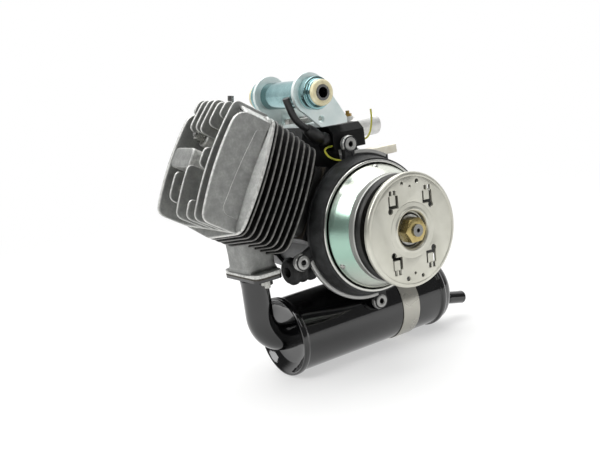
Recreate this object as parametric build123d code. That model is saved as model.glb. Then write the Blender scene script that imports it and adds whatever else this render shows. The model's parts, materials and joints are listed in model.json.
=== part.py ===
from build123d import *
import os
from math import sin, cos, radians, hypot

# Small air-cooled single-cylinder two-stroke engine with belt pulley, swinging pivot and silencer.
# Everything is drawn about the crank: +X along the crankshaft towards the pulley, +Z up, the origin
# on the crank axis in the plane of the connecting rod. Each finished piece is then moved once, so
# that the model's own origin is the centre of the pivot bore.

# ---------------------------------------------------------------- driving dimensions (mm, degrees)
BORE = 39.0
STROKE = 41.8
ROD_LENGTH = 85.0
CYLINDER_TILT = 31.5

RUN_CLEARANCE = 0.05
SIDE_CLEARANCE = 0.3

# crankshaft
SHAFT_R = 8.5
TAPER_R = 7.5
THREAD_R = 6.0
WEB_R = 37.0
WEB_T = 13.0
WEB_GAP = 12.4
CRANK_PIN_R = 8.0
PULLEY_END_X = 124.0
MAGNETO_END_L = 12.0
SHAFT_STEP_OUT = 4.0

# bearings and seals
BEARING_OD_R = 20.0
BEARING_W = 12.0
BALL_R = 3.4
BALL_COUNT = 8
SEAL_R = 14.0
SEAL_W = 7.0

# crankcase
CASE_R = 56.0
CASE_HALF = 46.0
CHAMBER_R = 38.5
CHAMBER_HALF = 20.5
CASE_GASKET_T = 0.5
BASE_C = 62.0
BASE_GASKET_T = 1.0
MOUTH_HALF = 38.0
MOUTH_R = 22.6
DRUM_R = 71.0
DRUM_MOUTH_R = 67.5
DRUM_WALL = 3.0
DRUM_BACK_T = 3.0
DRUM_FRONT_X = 63.0
BOSS_CIRCLE_R = 83.0
BOSS_R = 8.0
BOSS_HOLE_R = 2.5
BOSS_DEPTH = 6.5
BOSS_ANGLES = (94.0, 194.0, 276.0)
ARC_R = 75.5
ARC_T = 4.0
ARC_SPANS = ((58.0, 94.0), (194.0, 276.0))
CASE_SCREW_R = 3.0
CASE_SCREW_INSET = 8.0
CASE_SCREW_L = 17.0
SCREW_SOCKET_R = 2.5
CASE_SCREW_ANGLES = (15.0, 85.0, 215.0, 260.0, 305.0, 340.0)
CASE_SCREW_HEAD_R = 5.0
CASE_SCREW_HEAD_H = 3.5

# bracket tower on the crankcase
TOWER_HALF = 30.0
TOWER_INNER_X = 11.0
TOWER_TOP_Z = 104.0
TOWER_FOOT_Z = 30.0
TOWER_NOTCH_Z = 84.0
TOWER_FRONT_Y = -41.0
TOWER_REAR_Y = 8.0
FOOT_HALF = 14.0
FOOT_FRONT_Y = 22.0
FOOT_LOW_Z = -46.0
FOOT_TOP_Z = -24.0
PAD_FRONT_Y = 4.0
PAD_LENGTH = 40.0
PAD_LOW_Z = 20.0

# intake
INTAKE_PAD_Z = 64.0
INTAKE_Y = 23.0
INTAKE_Z = 93.0
INTAKE_R = 11.0
INTAKE_WALL = 2.0
INTAKE_BEND_R = 14.0
INTAKE_END_Y = 65.0
INTAKE_FLANGE_T = 5.0
INTAKE_FLANGE_HALF_X = 20.0
INTAKE_FLANGE_HALF_Y = 13.0
INTAKE_SCREW_X = 15.5
INTAKE_SCREW_R = 2.5
INTAKE_SCREW_L = 11.0
BLEED_OFFSET = 8.0
BLEED_BOSS_R = 5.5
BLEED_BOSS_H = 2.0
BLEED_R = 2.0
BLEED_AF = 7.0
REED_Z = 44.0
REED_T = 0.6

# cylinder
CYLINDER_TOP_C = 136.5
BARREL_R = 27.0
SPIGOT_R = 22.4
SPIGOT_C = 44.0
BASE_FLANGE_T = 9.0
BASE_FLANGE_HALF = 37.0
FIN_COUNT = 8
FIN_PITCH = 7.0
FIN_T = 2.2
FIN_FIRST_C = 86.0
FIN_TOP_U = 56.0
FIN_TOP_LOW_U = 49.0
FIN_CORNER_U = -57.0
FIN_MIDDLE_U = -66.0
FIN_TOP_HALF_X = 46.0
FIN_WIDE_HALF_X = 57.0
FIN_WIDE_U = -14.0
FIN_LOW_HALF_X = 53.0
FIN_CORNER_R = 8.0
STUD_R = 3.0
STUD_HOLE_R = 3.4
STUD_COLUMN_R = 6.5
STUD_SPACING = 54.0
STUD_FOOT_C = 48.0
STUD_END_C = 177.0
TRANSFER_H = 8.0
TRANSFER_DEPTH = 4.0
TRANSFER_HALF = 9.0

# exhaust port and pipe
PORT_Y = -111.0
PORT_FACE_Z = -28.0
PORT_R = 12.0
PORT_BEND_Z = 6.0
PORT_ROOT_Z = 34.0
PORT_NECK_TOP_Z = 4.0
PORT_SHOULDER = 8.0
PORT_HALF_X = 22.0
PORT_HALF_Y = 17.0
PORT_FLANGE_HALF_X = 31.0
PORT_FLANGE_HALF_Y = 16.0
PORT_FLANGE_CORNER_R = 7.0
PORT_FLANGE_T = 4.0
PIPE_FLANGE_T = 3.0
EXHAUST_GASKET_T = 1.0
EXHAUST_STUD_X = 23.0
STUD_STAND = 3.0
PIPE_R = 14.0
PIPE_WALL = 1.5
PIPE_BEND_R = 29.0
NUT_AF = 10.0
NUT_H = 5.0

# cylinder head
HEAD_C = 137.5
HEAD_PLATE_T = 8.5
HEAD_TIP_C = 178.0
HEAD_CROWN = 6.0
HEAD_HALF_X = 46.5
HEAD_TOP_U = 60.0
HEAD_LOW_U = -58.0
HEAD_FIN_T = 2.6
HEAD_SIDE_T = 4.0
HEAD_BOSS_R = 9.0
HEAD_BOSS_C = 167.0
HEAD_NUT_H = 6.5
DOME_R = 19.0
DOME_DEPTH = 8.0
# each plate fin of the head: place across the engine, lower end, upper end
HEAD_FINS = (
    (30.0, HEAD_LOW_U, HEAD_TOP_U),
    (15.0, HEAD_LOW_U, -39.0),
    (15.0, -9.0, 12.0),
    (15.0, 42.0, HEAD_TOP_U),
    (2.5, 33.0, HEAD_TOP_U),
    (-5.0, HEAD_LOW_U, -6.0),
    (-8.5, 26.0, HEAD_TOP_U + 3.0),
    (-19.0, 28.0, HEAD_TOP_U + 3.0),
    (-25.0, -43.0, -13.0),
    (-30.0, 28.0, HEAD_TOP_U + 3.0),
    (-38.0, 46.0, HEAD_TOP_U + 3.0),
)
HEAD_PAD = (-43.0, -5.0, -10.0, 10.0)

# spark plug
PLUG_TILT = 22.0
PLUG_FOOT_U = 4.0
PLUG_FOOT_C = 141.0
PLUG_THREAD_R = 7.0
PLUG_SEAT_S = 22.0
PLUG_HEX_AF = 20.8
PLUG_HEX_H = 11.0
PLUG_INSULATOR_R = 5.6
PLUG_INSULATOR_END_S = 62.0
PLUG_TERMINAL_R = 3.0
PLUG_END_S = 70.0
PLUG_WELL_R = 13.2
PLUG_BODY_S = 8.0
PLUG_NOSE_S = 12.0
PLUG_NOSE_R = 4.1

# piston and rod
PIN_TO_CROWN = 30.0
PIN_TO_SKIRT = 22.0
PISTON_CLEARANCE = 0.06
PISTON_WALL = 3.5
RING_T = 2.0
RING_DEPTH = 1.8
RING_STEP = 5.0
GUDGEON_R = 6.0
ROD_BIG_R = 13.5
ROD_SMALL_R = 9.5
ROD_T = 10.6
ROD_SHANK_W = 14.0
ROD_SHANK_T = 6.0
CAGE_T = 2.0

# belt pulley, clutch and variable sheave
DISC_FRONT_X = 116.0
DISC_R = 55.0
DISC_T = 2.6
DISC_RIM_X = 111.0
DISC_LIP_R = 24.0
WINDOW_TURN = -3.0
# cuts of one roller window, each y from, y to, z from, z to, then its hole (y, z, radius) and tongue
WINDOW_CUTS = ((15.2, 27.2, 23.0, 35.0), (17.7, 20.7, 35.0, 40.0), (22.7, 25.7, 35.0, 40.0))
WINDOW_HOLE = (25.2, 21.0, 3.0)
WINDOW_TONGUE = (17.7, 24.7, 26.0, 35.5)
DISC_HOLE_R = 16.5
GROOVE_NECK_R = 28.0
BAND_R = 53.0
BAND_WALL = 3.0
BAND_FRONT_X = 99.5
BAND_REAR_X = 85.0
NECK_END_X = 110.0
PULLEY_BUSH_R = 10.0
DISH_T = 1.6
DISH_REAR_X = 65.0
DISH_R = 61.2
RING_OUTER_R = 65.6
RING_INNER_R = 62.6
HUB_R = 12.0
HUB_KEY_IN = 14.0
HUB_PLATE_R = 44.0
HUB_PLATE_T = 3.0
SHOE_OUTER_R = 48.4
SHOE_INNER_R = 30.0
SHOE_ARC = 128.0
SHOE_T = 6.5
SHOE_PIN_R = 4.0
SHOE_PIN_CIRCLE_R = 36.0
SHEAVE_HOLES = ((-6.8, 45.8, 1.8), (2.4, 41.4, 1.4), (11.8, 44.8, 2.3))
CRANK_NUT_AF = 22.0
CRANK_NUT_H = 9.5
WASHER_R = 14.5
WASHER_T = 2.0

# flywheel magneto
FLYWHEEL_R = 46.0
FLYWHEEL_RIM = 6.0
FLYWHEEL_W = 20.0
FLYWHEEL_GAP = 6.0
FLYWHEEL_KEY_IN = 11.0
FLYWHEEL_NUT_AF = 19.0
FLYWHEEL_NUT_H = 8.0
FLYWHEEL_WEB_T = 4.0
FLYWHEEL_HUB_R = 13.0
STATOR_R = 36.0
STATOR_T = 3.0
STATOR_CIRCLE_R = 25.0
STATOR_COIL_L = 15.0
STATOR_COIL_HALF = 9.0
STATOR_COIL_HALF_T = 6.0
COVER_OVERHANG = 4.0
COVER_WALL = 2.5
COVER_DEPTH = 44.0
COVER_EDGE = 4.0
COVER_LUG_R = 6.0
COVER_LUG_T = 8.0
COVER_EAR_T = 10.0
COVER_SCREW_R = 2.5
COVER_SCREW_HEAD_R = 4.5
COVER_SCREW_HEAD_H = 3.0
COVER_SLOTS = 4
COVER_SLOT_PITCH = 9.0
COVER_SLOT_HALF = 2.2
COVER_SLOT_REACH = 42.0
COVER_SCREW_ANGLES = (45.0, 200.0, 310.0)

# pivot
PIVOT_X = 4.0
PIVOT_Y = -42.0
PIVOT_Z = 138.0
PIVOT_BORE_R = 5.2
PIVOT_HALF = 56.0
SLEEVE_R = 7.5
TUBE_R = 13.5
TUBE_WALL = 2.5
COLLAR_R = 16.0
COLLAR_W = 9.0
BUSH_FLANGE_R = 12.6
BUSH_FLANGE_T = 4.0
BUSH_LENGTH = 18.0
EAR_R = 20.0
EAR_T = 4.0
EAR_X = (-32.0, 40.0)
BRACKET_T = 4.0
BRACKET_FRONT_Y = -34.0
BRACKET_REAR_Y = -2.0
BRACKET_BOLT_R = 4.0
EAR_HOLE_R = 3.6
EAR_HOLE_Y = -33.0
EAR_HOLE_Z = 112.0
BRACKET_BOLT_Y = (-28.0, -9.0)

# silencer
SILENCER_Z = -101.0
SILENCER_R = 39.0
SILENCER_WALL = 1.2
SILENCER_FRONT_Y = -89.0
SILENCER_SEAM_Y = 101.0
SILENCER_DOME = 25.0
BAFFLE_Y = (-25.0, 35.0)
BEAD_RISE = 2.0
BEAD_W = 6.0
CAP_DISH = 9.0
TAIL_R = 7.0
TAIL_ROOT_R = 6.2
TAIL_BORE_R = 5.2
TAIL_FREE_L = 23.0
TAIL_START = (16.0, 118.0, -113.8)
TAIL_END = (16.0, 149.5, -120.5)
STRAP_Y = 53.5
STRAP_W = 23.0
STRAP_T = 0.8
STRAP_CLEARANCE = 0.05
LUG_HALF_X = 9.0
LUG_HALF_Y = 8.0
LUG_H = 6.0
HANGER_HALF_X = 11.0

# ignition coil and wiring
COIL_X = (TOWER_INNER_X, 36.0)
COIL_Y = (-19.0, 21.0)
COIL_Z = (78.0, 102.0)
COIL_CHAMFER = 7.0
LEAD_R = 3.5
BOOT_R = 6.0
BOOT_END_R = 4.6
TOWER_START = (25.7, -16.0, 86.0)
BOOT_SEAT = (27.5, -23.0, 90.2)
WIRE_R = 0.95
CONNECTOR_W = 13.0
CONNECTOR_GAP = 2.0
CONNECTOR_WALL = 2.0
CONNECTOR_LEAD_R = 1.4
CONNECTOR_Y = (24.0, 57.0)
CONNECTOR_H = 9.0

# routes of the free cords, straight runs with rounded corners
LEAD_ROUTE = [
    (33.5, -46.4, 104.2),
    (36.5, -58.1, 111.2),
    (38.6, -66.5, 122.5),
    (39.0, -70.5, 137.0),
]
STOP_WIRE_ROUTE = [
    (31.0, 21.0, 83.0),
    (31.0, 27.5, 83.0),
    (31.0, 33.0, 89.0),
    (31.0, 35.8, 97.0),
    (31.0, 37.2, 105.5),
    (31.0, 37.0, 112.0),
]
EARTH_WIRE_ROUTE = [
    (33.0, -19.0, 83.0),
    (33.0, -26.5, 83.0),
    (36.5, -32.5, 80.0),
    (40.5, -28.0, 71.0),
    (42.0, -16.5, 68.0),
]

# rubber buffer
BUFFER_X = 20.0
BUFFER_Z = -32.0
BUFFER_R = 14.0
BUFFER_FRONT_Y = -84.0
BUFFER_RING_W = 3.0
BUFFER_RING_H = 1.5

# ---------------------------------------------------------------- worked-out sizes
THROW = STROKE / 2
PISTON_R = BORE / 2 - PISTON_CLEARANCE
WEB_INNER_X = WEB_GAP / 2
CYLINDER_FOOT_C = BASE_C + BASE_GASKET_T
WEB_OUTER_X = WEB_INNER_X + WEB_T
SEAL_X = CHAMBER_HALF + BEARING_W
SPLIT_X = CASE_GASKET_T / 2
PIN_C = THROW + ROD_LENGTH
CROWN_C = PIN_C + PIN_TO_CROWN
CYLINDER_FRAME = Rot(90 - CYLINDER_TILT, 0, 0)
PLUG_FRAME = Pos(0, PLUG_FOOT_U, PLUG_FOOT_C) * Rot(PLUG_TILT - 90, 0, 0)
STUD_PLACES = [(sx * STUD_SPACING / 2, su * STUD_SPACING / 2) for sx in (-1, 1) for su in (-1, 1)]
NUT_X = NECK_END_X + SIDE_CLEARANCE
HUB_PLATE_X = BAND_REAR_X + DISH_T + SIDE_CLEARANCE
SHOE_X = HUB_PLATE_X + HUB_PLATE_T + SIDE_CLEARANCE
PIPE_TOP_Z = PORT_FACE_Z - EXHAUST_GASKET_T
TUBE_END = PIVOT_HALF - BUSH_FLANGE_T
CASE_SCREW_CIRCLE_R = CASE_R - CASE_SCREW_INSET
SHAFT_STEP_X = CASE_HALF + SHAFT_STEP_OUT
FLYWHEEL_INNER_X = -CASE_HALF - FLYWHEEL_GAP
FLYWHEEL_OUTER_X = FLYWHEEL_INNER_X - FLYWHEEL_W
MAGNETO_END_X = FLYWHEEL_OUTER_X - MAGNETO_END_L
COVER_R = CASE_R + COVER_OVERHANG
COVER_SCREW_CIRCLE_R = COVER_R + 1
COVER_END_X = -CASE_HALF - COVER_DEPTH
BEAD_R = SILENCER_R + BEAD_RISE
CONNECTOR_END_X = CASE_HALF - DRUM_BACK_T - CONNECTOR_GAP
CONNECTOR_X = (CONNECTOR_END_X - CONNECTOR_W, CONNECTOR_END_X)
BLEED_Y = INTAKE_Y + BLEED_OFFSET
BLEED_TOP_Z = INTAKE_Z + INTAKE_R + BLEED_BOSS_H


# ---------------------------------------------------------------- small helpers
def rod_x(x0, x1, r, y=0.0, z=0.0):
    """Solid round bar along X."""
    return Pos((x0 + x1) / 2, y, z) * Rot(0, 90, 0) * Cylinder(r, abs(x1 - x0))


def rod_y(y0, y1, r, x=0.0, z=0.0):
    """Solid round bar along Y."""
    return Pos(x, (y0 + y1) / 2, z) * Rot(90, 0, 0) * Cylinder(r, abs(y1 - y0))


def rod_z(z0, z1, r, x=0.0, y=0.0):
    """Solid round bar along Z."""
    return Pos(x, y, (z0 + z1) / 2) * Cylinder(r, abs(z1 - z0))


def ring_x(x0, x1, r_out, r_in, y=0.0, z=0.0):
    """Round tube along X."""
    return rod_x(x0, x1, r_out, y, z) - rod_x(x0 - 1, x1 + 1, r_in, y, z)


def block(x0, x1, y0, y1, z0, z1):
    """Box between two corners."""
    return Pos((x0 + x1) / 2, (y0 + y1) / 2, (z0 + z1) / 2) * Box(x1 - x0, y1 - y0, z1 - z0)


def turned(points):
    """Solid of revolution about X from (x, radius) points."""
    return revolve(make_face(Polyline(*points, close=True)), Axis.X, 360)


def between(p, q, r0, r1=None):
    """Round bar or cone from point p to point q."""
    start, end = Vector(*p), Vector(*q)
    length = (end - start).length
    plane = Plane(origin=start, z_dir=end - start)
    if r1 is None:
        return plane * Pos(0, 0, length / 2) * Cylinder(r0, length)
    return plane * Pos(0, 0, length / 2) * Cone(r0, r1, length)


def polygon_x(points, x0, x1):
    """Plate whose (y, z) outline is extruded from x0 to x1."""
    face = make_face(Polyline(*[(x0, y, z) for y, z in points], close=True))
    return extrude(face, x1 - x0, dir=(1, 0, 0))


def hex_x(across_flats, x0, x1):
    """Hexagonal bar along X."""
    outline = RegularPolygon(across_flats / 2, 6, major_radius=False)
    return Pos(x0, 0, 0) * Rot(0, 90, 0) * extrude(outline, x1 - x0)


def hex_z(across_flats, z0, z1):
    """Hexagonal bar along Z."""
    return Pos(0, 0, z0) * extrude(RegularPolygon(across_flats / 2, 6, major_radius=False), z1 - z0)


def quarter_bend(r, bend_r, y, z, y_side, z_side):
    """Solid quarter of a torus about an X-parallel axis at (y, z), in the given quadrant."""
    whole = Pos(0, y, z) * Rot(0, 90, 0) * Torus(bend_r, r)
    reach = bend_r + r + 1
    corner = block(-reach, reach, *sorted((y, y + y_side * reach)), *sorted((z, z + z_side * reach)))
    return whole & corner


def polar(radius, angle):
    """(y, z) of a point at a radius from the crank axis, the angle turned from +Y towards +Z."""
    return radius * cos(radians(angle)), radius * sin(radians(angle))


def group(pieces):
    """Separate solids kept together as one node."""
    return Compound(children=[solid for piece in pieces for solid in piece.solids()])


# ---------------------------------------------------------------- crankcase
def case_boss(angle):
    """Cover boss standing out of the drum's back plate, with its web towards the case."""
    y, z = polar(BOSS_CIRCLE_R, angle)
    foot_y, foot_z = polar(CASE_R - 4, angle)
    across_y, across_z = polar(BOSS_R * 1.5, angle + 90)
    tip_y, tip_z = polar(BOSS_R * 0.9, angle + 90)
    web = polygon_x(
        [
            (foot_y - across_y, foot_z - across_z),
            (y - tip_y, z - tip_z),
            (y + tip_y, z + tip_z),
            (foot_y + across_y, foot_z + across_z),
        ],
        CASE_HALF - BOSS_DEPTH,
        CASE_HALF - 1,
    )
    return web + rod_x(CASE_HALF - BOSS_DEPTH, CASE_HALF, BOSS_R, y, z)


def case_blank(inner_x, outer_x):
    """Outer form shared by both halves, from the joint face outwards."""
    low_x, high_x = min(inner_x, outer_x), max(inner_x, outer_x)
    side = 1 if outer_x > 0 else -1
    tower_x = side * (TOWER_INNER_X if side > 0 else TOWER_HALF)
    body = rod_x(low_x, high_x, CASE_R)
    mouth_x = side * MOUTH_HALF
    mouth = CYLINDER_FRAME * block(
        min(inner_x, mouth_x), max(inner_x, mouth_x), -MOUTH_HALF, MOUTH_HALF, 0, BASE_C
    )
    tower = polygon_x(
        [
            (TOWER_FRONT_Y + 13, TOWER_FOOT_Z), (TOWER_FRONT_Y + 10, INTAKE_PAD_Z),
            (TOWER_FRONT_Y, TOWER_NOTCH_Z), (TOWER_FRONT_Y + 5, TOWER_TOP_Z),
            (TOWER_REAR_Y - 8, TOWER_TOP_Z), (TOWER_REAR_Y - 4, TOWER_NOTCH_Z), (TOWER_REAR_Y, TOWER_FOOT_Z),
        ],
        min(inner_x, tower_x),
        max(inner_x, tower_x),
    )
    pad_x = CONNECTOR_X[1] if side > 0 else -INTAKE_FLANGE_HALF_X
    pad_end_y = PAD_FRONT_Y + PAD_LENGTH
    pad = block(*sorted((inner_x, pad_x)), PAD_FRONT_Y, pad_end_y, PAD_LOW_Z, INTAKE_PAD_Z)
    foot_x = side * FOOT_HALF
    foot_end_y = STRAP_Y + LUG_HALF_Y + 1
    foot = block(*sorted((inner_x, foot_x)), FOOT_FRONT_Y, foot_end_y, FOOT_LOW_Z, FOOT_TOP_Z)
    return body + mouth + tower + pad + foot


def case_hollow(side):
    """Chamber, bearing, seal and cylinder mouth cut from a half."""
    chamber = rod_x(0, side * CHAMBER_HALF, CHAMBER_R)
    bearing = rod_x(0, side * SEAL_X, BEARING_OD_R)
    seal = rod_x(0, side * (CASE_HALF + 5), SEAL_R)
    mouth = CYLINDER_FRAME * Pos(0, 0, BASE_C / 2 + 12) * Cylinder(MOUTH_R, BASE_C - 22)
    intake = rod_z(20, INTAKE_PAD_Z + 1, INTAKE_R - INTAKE_WALL, 0, INTAKE_Y)
    studs = [
        CYLINDER_FRAME * Pos(x, u, (STUD_FOOT_C + BASE_C + 1) / 2)
        * Cylinder(STUD_R, BASE_C + 1 - STUD_FOOT_C)
        for x, u in STUD_PLACES
        if x * side > 0
    ]
    cuts = chamber + bearing + seal + mouth + intake
    for stud in studs:
        cuts += stud
    for x in (-INTAKE_SCREW_X, INTAKE_SCREW_X):
        if x * side > 0:
            cuts += rod_z(INTAKE_PAD_Z - INTAKE_SCREW_L - 1, INTAKE_PAD_Z + 1, INTAKE_SCREW_R, x, INTAKE_Y)
    for y in BRACKET_BOLT_Y:
        x = bracket_bolt_x(side)
        cuts += rod_z(TOWER_TOP_Z - 16, TOWER_TOP_Z + 1, BRACKET_BOLT_R, x, y)
    return cuts


def bracket_bolt_x(side):
    """The bracket bolts stand nearer the middle on the pulley side, where the coil needs room."""
    return 5.0 if side > 0 else -18.0


def flange_arc(start, end):
    """Machined arc standing out round the drum's back plate between two angles."""
    reach = 2 * ARC_R
    turns = [start + (end - start) * step / 4 for step in range(5)]
    back_x = CASE_HALF - ARC_T
    wedge = polygon_x([(0, 0)] + [polar(reach, turn) for turn in turns], back_x - 1, CASE_HALF + 1)
    return ring_x(back_x, CASE_HALF, ARC_R, DRUM_R - DRUM_WALL) & wedge


def crankcase_left():
    """Pulley-side half with the drum, its back plate, flange arcs and three cover bosses."""
    back_x = CASE_HALF - DRUM_BACK_T
    half = case_blank(SPLIT_X, CASE_HALF)
    half += rod_x(back_x, CASE_HALF, DRUM_R)
    half += turned([
        (back_x, DRUM_R - DRUM_WALL), (back_x, DRUM_R), (DRUM_FRONT_X, DRUM_MOUTH_R),
        (DRUM_FRONT_X, DRUM_MOUTH_R - DRUM_WALL),
    ])
    for start, end in ARC_SPANS:
        half += flange_arc(start, end)
    for angle in BOSS_ANGLES:
        half += case_boss(angle)
    half -= case_hollow(1)
    for angle in BOSS_ANGLES:
        y, z = polar(BOSS_CIRCLE_R, angle)
        half -= rod_x(CASE_HALF - BOSS_DEPTH - 1, CASE_HALF + 1, BOSS_HOLE_R, y, z)
    for angle in CASE_SCREW_ANGLES:
        y, z = polar(CASE_SCREW_CIRCLE_R, angle)
        half -= rod_x(0, CASE_SCREW_L + 1, CASE_SCREW_R, y, z)
    return half


def crankcase_right():
    """Magneto-side half."""
    half = case_blank(-SPLIT_X, -CASE_HALF) - case_hollow(-1)
    for ear in case_ears():
        half += ear
    for angle in COVER_SCREW_ANGLES:
        y, z = polar(COVER_SCREW_CIRCLE_R, angle)
        half -= rod_x(-CASE_HALF - 1, -CASE_HALF + COVER_EAR_T + 1, COVER_SCREW_R, y, z)
    for angle in CASE_SCREW_ANGLES:
        y, z = polar(CASE_SCREW_CIRCLE_R, angle)
        half -= rod_x(1, -CASE_HALF - 1, CASE_SCREW_R, y, z)
    return half


def case_gasket():
    """Thin gasket following the whole joint face of the halves."""
    slab = block(0, CASE_GASKET_T, -150, 150, -150, 150)
    sheet = Pos(-SPLIT_X, 0, 0) * (case_blank(0, CASE_HALF) & slab) - rod_x(-1, 1, CHAMBER_R)
    sheet -= CYLINDER_FRAME * Pos(0, 0, BASE_C / 2 + 12) * Cylinder(MOUTH_R, BASE_C - 22)
    for angle in CASE_SCREW_ANGLES:
        y, z = polar(CASE_SCREW_CIRCLE_R, angle)
        sheet -= rod_x(-1, 1, CASE_SCREW_R, y, z)
    return sheet - rod_z(20, INTAKE_PAD_Z + 1, INTAKE_R - INTAKE_WALL, 0, INTAKE_Y)


def case_screws():
    """Screws that clamp the halves, put in from the magneto side, as a list."""
    screws = []
    for angle in CASE_SCREW_ANGLES:
        y, z = polar(CASE_SCREW_CIRCLE_R, angle)
        head_x = -CASE_HALF - CASE_SCREW_HEAD_H
        head = rod_x(head_x, -CASE_HALF, CASE_SCREW_HEAD_R, y, z)
        head -= rod_x(head_x - 1, head_x + 2, SCREW_SOCKET_R, y, z)
        screws.append(head + rod_x(-CASE_HALF, CASE_SCREW_L, CASE_SCREW_R, y, z))
    return screws


def rim_ring():
    """Bright ring pressed into the mouth of the drum."""
    seat = DRUM_MOUTH_R - DRUM_WALL
    return turned([
        (DRUM_FRONT_X - 4, seat), (DRUM_FRONT_X, seat), (DRUM_FRONT_X, RING_OUTER_R),
        (DRUM_FRONT_X + 2, RING_OUTER_R - 0.6), (DRUM_FRONT_X + 2, RING_INNER_R),
        (DRUM_FRONT_X - 2.5, RING_INNER_R), (DRUM_FRONT_X - 2.5, seat - 1.5),
        (DRUM_FRONT_X - 4, seat - 1.5),
    ])


# ---------------------------------------------------------------- bearings and seals
def main_bearing(side):
    """Ball bearing: outer race, inner race and balls as separate solids."""
    x0, x1 = sorted((side * CHAMBER_HALF, side * SEAL_X))
    mid_r = (BEARING_OD_R + SHAFT_R) / 2
    groove = Rot(0, 90, 0) * Torus(mid_r, BALL_R + 0.05)
    middle = (x0 + x1) / 2
    outer = ring_x(x0, x1, BEARING_OD_R, mid_r + 2.2) - Pos(middle, 0, 0) * groove
    inner = ring_x(x0, x1, mid_r - 2.2, SHAFT_R + RUN_CLEARANCE) - Pos(middle, 0, 0) * groove
    balls = []
    for index in range(BALL_COUNT):
        y, z = polar(mid_r, index * 360 / BALL_COUNT)
        balls.append(Pos(middle, y, z) * Sphere(BALL_R))
    return [outer, inner] + balls


def main_bearings():
    """Both crankshaft bearings."""
    return group(main_bearing(-1) + main_bearing(1))


def shaft_seals():
    """Both crankshaft seals."""
    seals = [
        ring_x(*sorted((side * SEAL_X, side * (SEAL_X + SEAL_W))), SEAL_R, SHAFT_R + RUN_CLEARANCE)
        for side in (-1, 1)
    ]
    return group(seals)


# ---------------------------------------------------------------- cylinder
def fin_outline(top_u):
    """Outline of one cylinder fin: bowed sides, rounded lower corners, a shallow V at the bottom."""
    half_top, half_wide, half_low = FIN_TOP_HALF_X, FIN_WIDE_HALF_X, FIN_LOW_HALF_X
    left = ThreePointArc((-half_top, top_u), (-half_wide, FIN_WIDE_U), (-half_low, FIN_CORNER_U))
    right = ThreePointArc((half_top, top_u), (half_wide, FIN_WIDE_U), (half_low, FIN_CORNER_U))
    bottom = Polyline((-half_low, FIN_CORNER_U), (0, FIN_MIDDLE_U), (half_low, FIN_CORNER_U))
    top = Line((-half_top, top_u), (half_top, top_u))
    face = make_face([left, bottom, right, top])
    corners = face.vertices().filter_by(lambda v: abs(v.X) > 1)
    return fillet(corners, FIN_CORNER_R)


def fin_top_u(index):
    """The fins get shorter at the top towards the crankcase."""
    return FIN_TOP_LOW_U + (FIN_TOP_U - FIN_TOP_LOW_U) * index / (FIN_COUNT - 1)


def exhaust_duct():
    """Gas way from the bore to the port face, in crank coordinates."""
    tilt = radians(CYLINDER_TILT)
    c, u = CROWN_C - STROKE + 9, -BORE / 2 + 4
    start = (0, -c * cos(tilt) + u * sin(tilt), c * sin(tilt) + u * cos(tilt))
    bend = (0, PORT_Y, PORT_BEND_Z)
    duct = between(start, bend, PORT_R - 2) + Pos(*bend) * Sphere(PORT_R - 1)
    return duct + rod_z(PORT_FACE_Z - 1, PORT_BEND_Z, PORT_R, 0, PORT_Y)


def stud_bores(low_c, high_c):
    """The four stud holes between two heights of the cylinder, as one solid."""
    bores = [rod_z(low_c, high_c, STUD_HOLE_R, x, u) for x, u in STUD_PLACES]
    return bores[0] + bores[1] + bores[2] + bores[3]


def cylinder_core():
    """Outer form of the barrel and its four stud columns."""
    core = rod_z(CYLINDER_FOOT_C, CYLINDER_TOP_C, BARREL_R)
    for x, u in STUD_PLACES:
        core += rod_z(CYLINDER_FOOT_C, CYLINDER_TOP_C, STUD_COLUMN_R, x, u)
    return core


def cylinder_fins():
    """Cooling fins round the barrel, each a plate of its own."""
    fins = []
    for index in range(FIN_COUNT):
        low_c = FIN_FIRST_C + index * FIN_PITCH - FIN_T / 2
        fin = Pos(0, 0, low_c) * extrude(fin_outline(fin_top_u(index)), FIN_T)
        fins.append(CYLINDER_FRAME * (fin - cylinder_core()) - port_body() - exhaust_duct())
    return group(fins)


def cylinder():
    """Barrel with base flange, stud columns, transfer pockets and exhaust port."""
    barrel = cylinder_core() + rod_z(SPIGOT_C, CYLINDER_FOOT_C, SPIGOT_R)
    flange = Pos(0, 0, CYLINDER_FOOT_C + BASE_FLANGE_T / 2) * Box(
        2 * BASE_FLANGE_HALF, 2 * BASE_FLANGE_HALF, BASE_FLANGE_T
    )
    barrel += fillet(flange.edges().filter_by(Axis.Z), FIN_CORNER_R)
    bore = rod_z(SPIGOT_C - 1, CYLINDER_TOP_C + 1, BORE / 2)
    bore += stud_bores(CYLINDER_FOOT_C - 1, CYLINDER_TOP_C + 1)
    pocket_top = CROWN_C - STROKE + TRANSFER_H
    for side in (-1, 1):
        low, high = sorted((side * (BORE / 2 - 2), side * (BORE / 2 + TRANSFER_DEPTH)))
        bore += block(low, high, -TRANSFER_HALF, TRANSFER_HALF, CYLINDER_FOOT_C + BASE_FLANGE_T, pocket_top)
    return CYLINDER_FRAME * barrel + port_body() - CYLINDER_FRAME * bore - exhaust_duct()


def port_body():
    """Casting that carries the exhaust port out of the barrel, with its flange."""
    reach = FIN_WIDE_HALF_X + 3
    low_c, high_c = CYLINDER_FOOT_C + BASE_FLANGE_T, CYLINDER_TOP_C - PORT_SHOULDER
    beside = CYLINDER_FRAME * block(-reach, reach, PORT_Y - reach, 0, low_c, high_c)
    body = (port_casting(PORT_ROOT_Z) & beside) + port_casting(PORT_NECK_TOP_Z)
    body += port_plate(PORT_FACE_Z, PORT_FLANGE_T)
    return body - exhaust_studs(PORT_FACE_Z - 1, PORT_FACE_Z + PORT_FLANGE_T)


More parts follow.
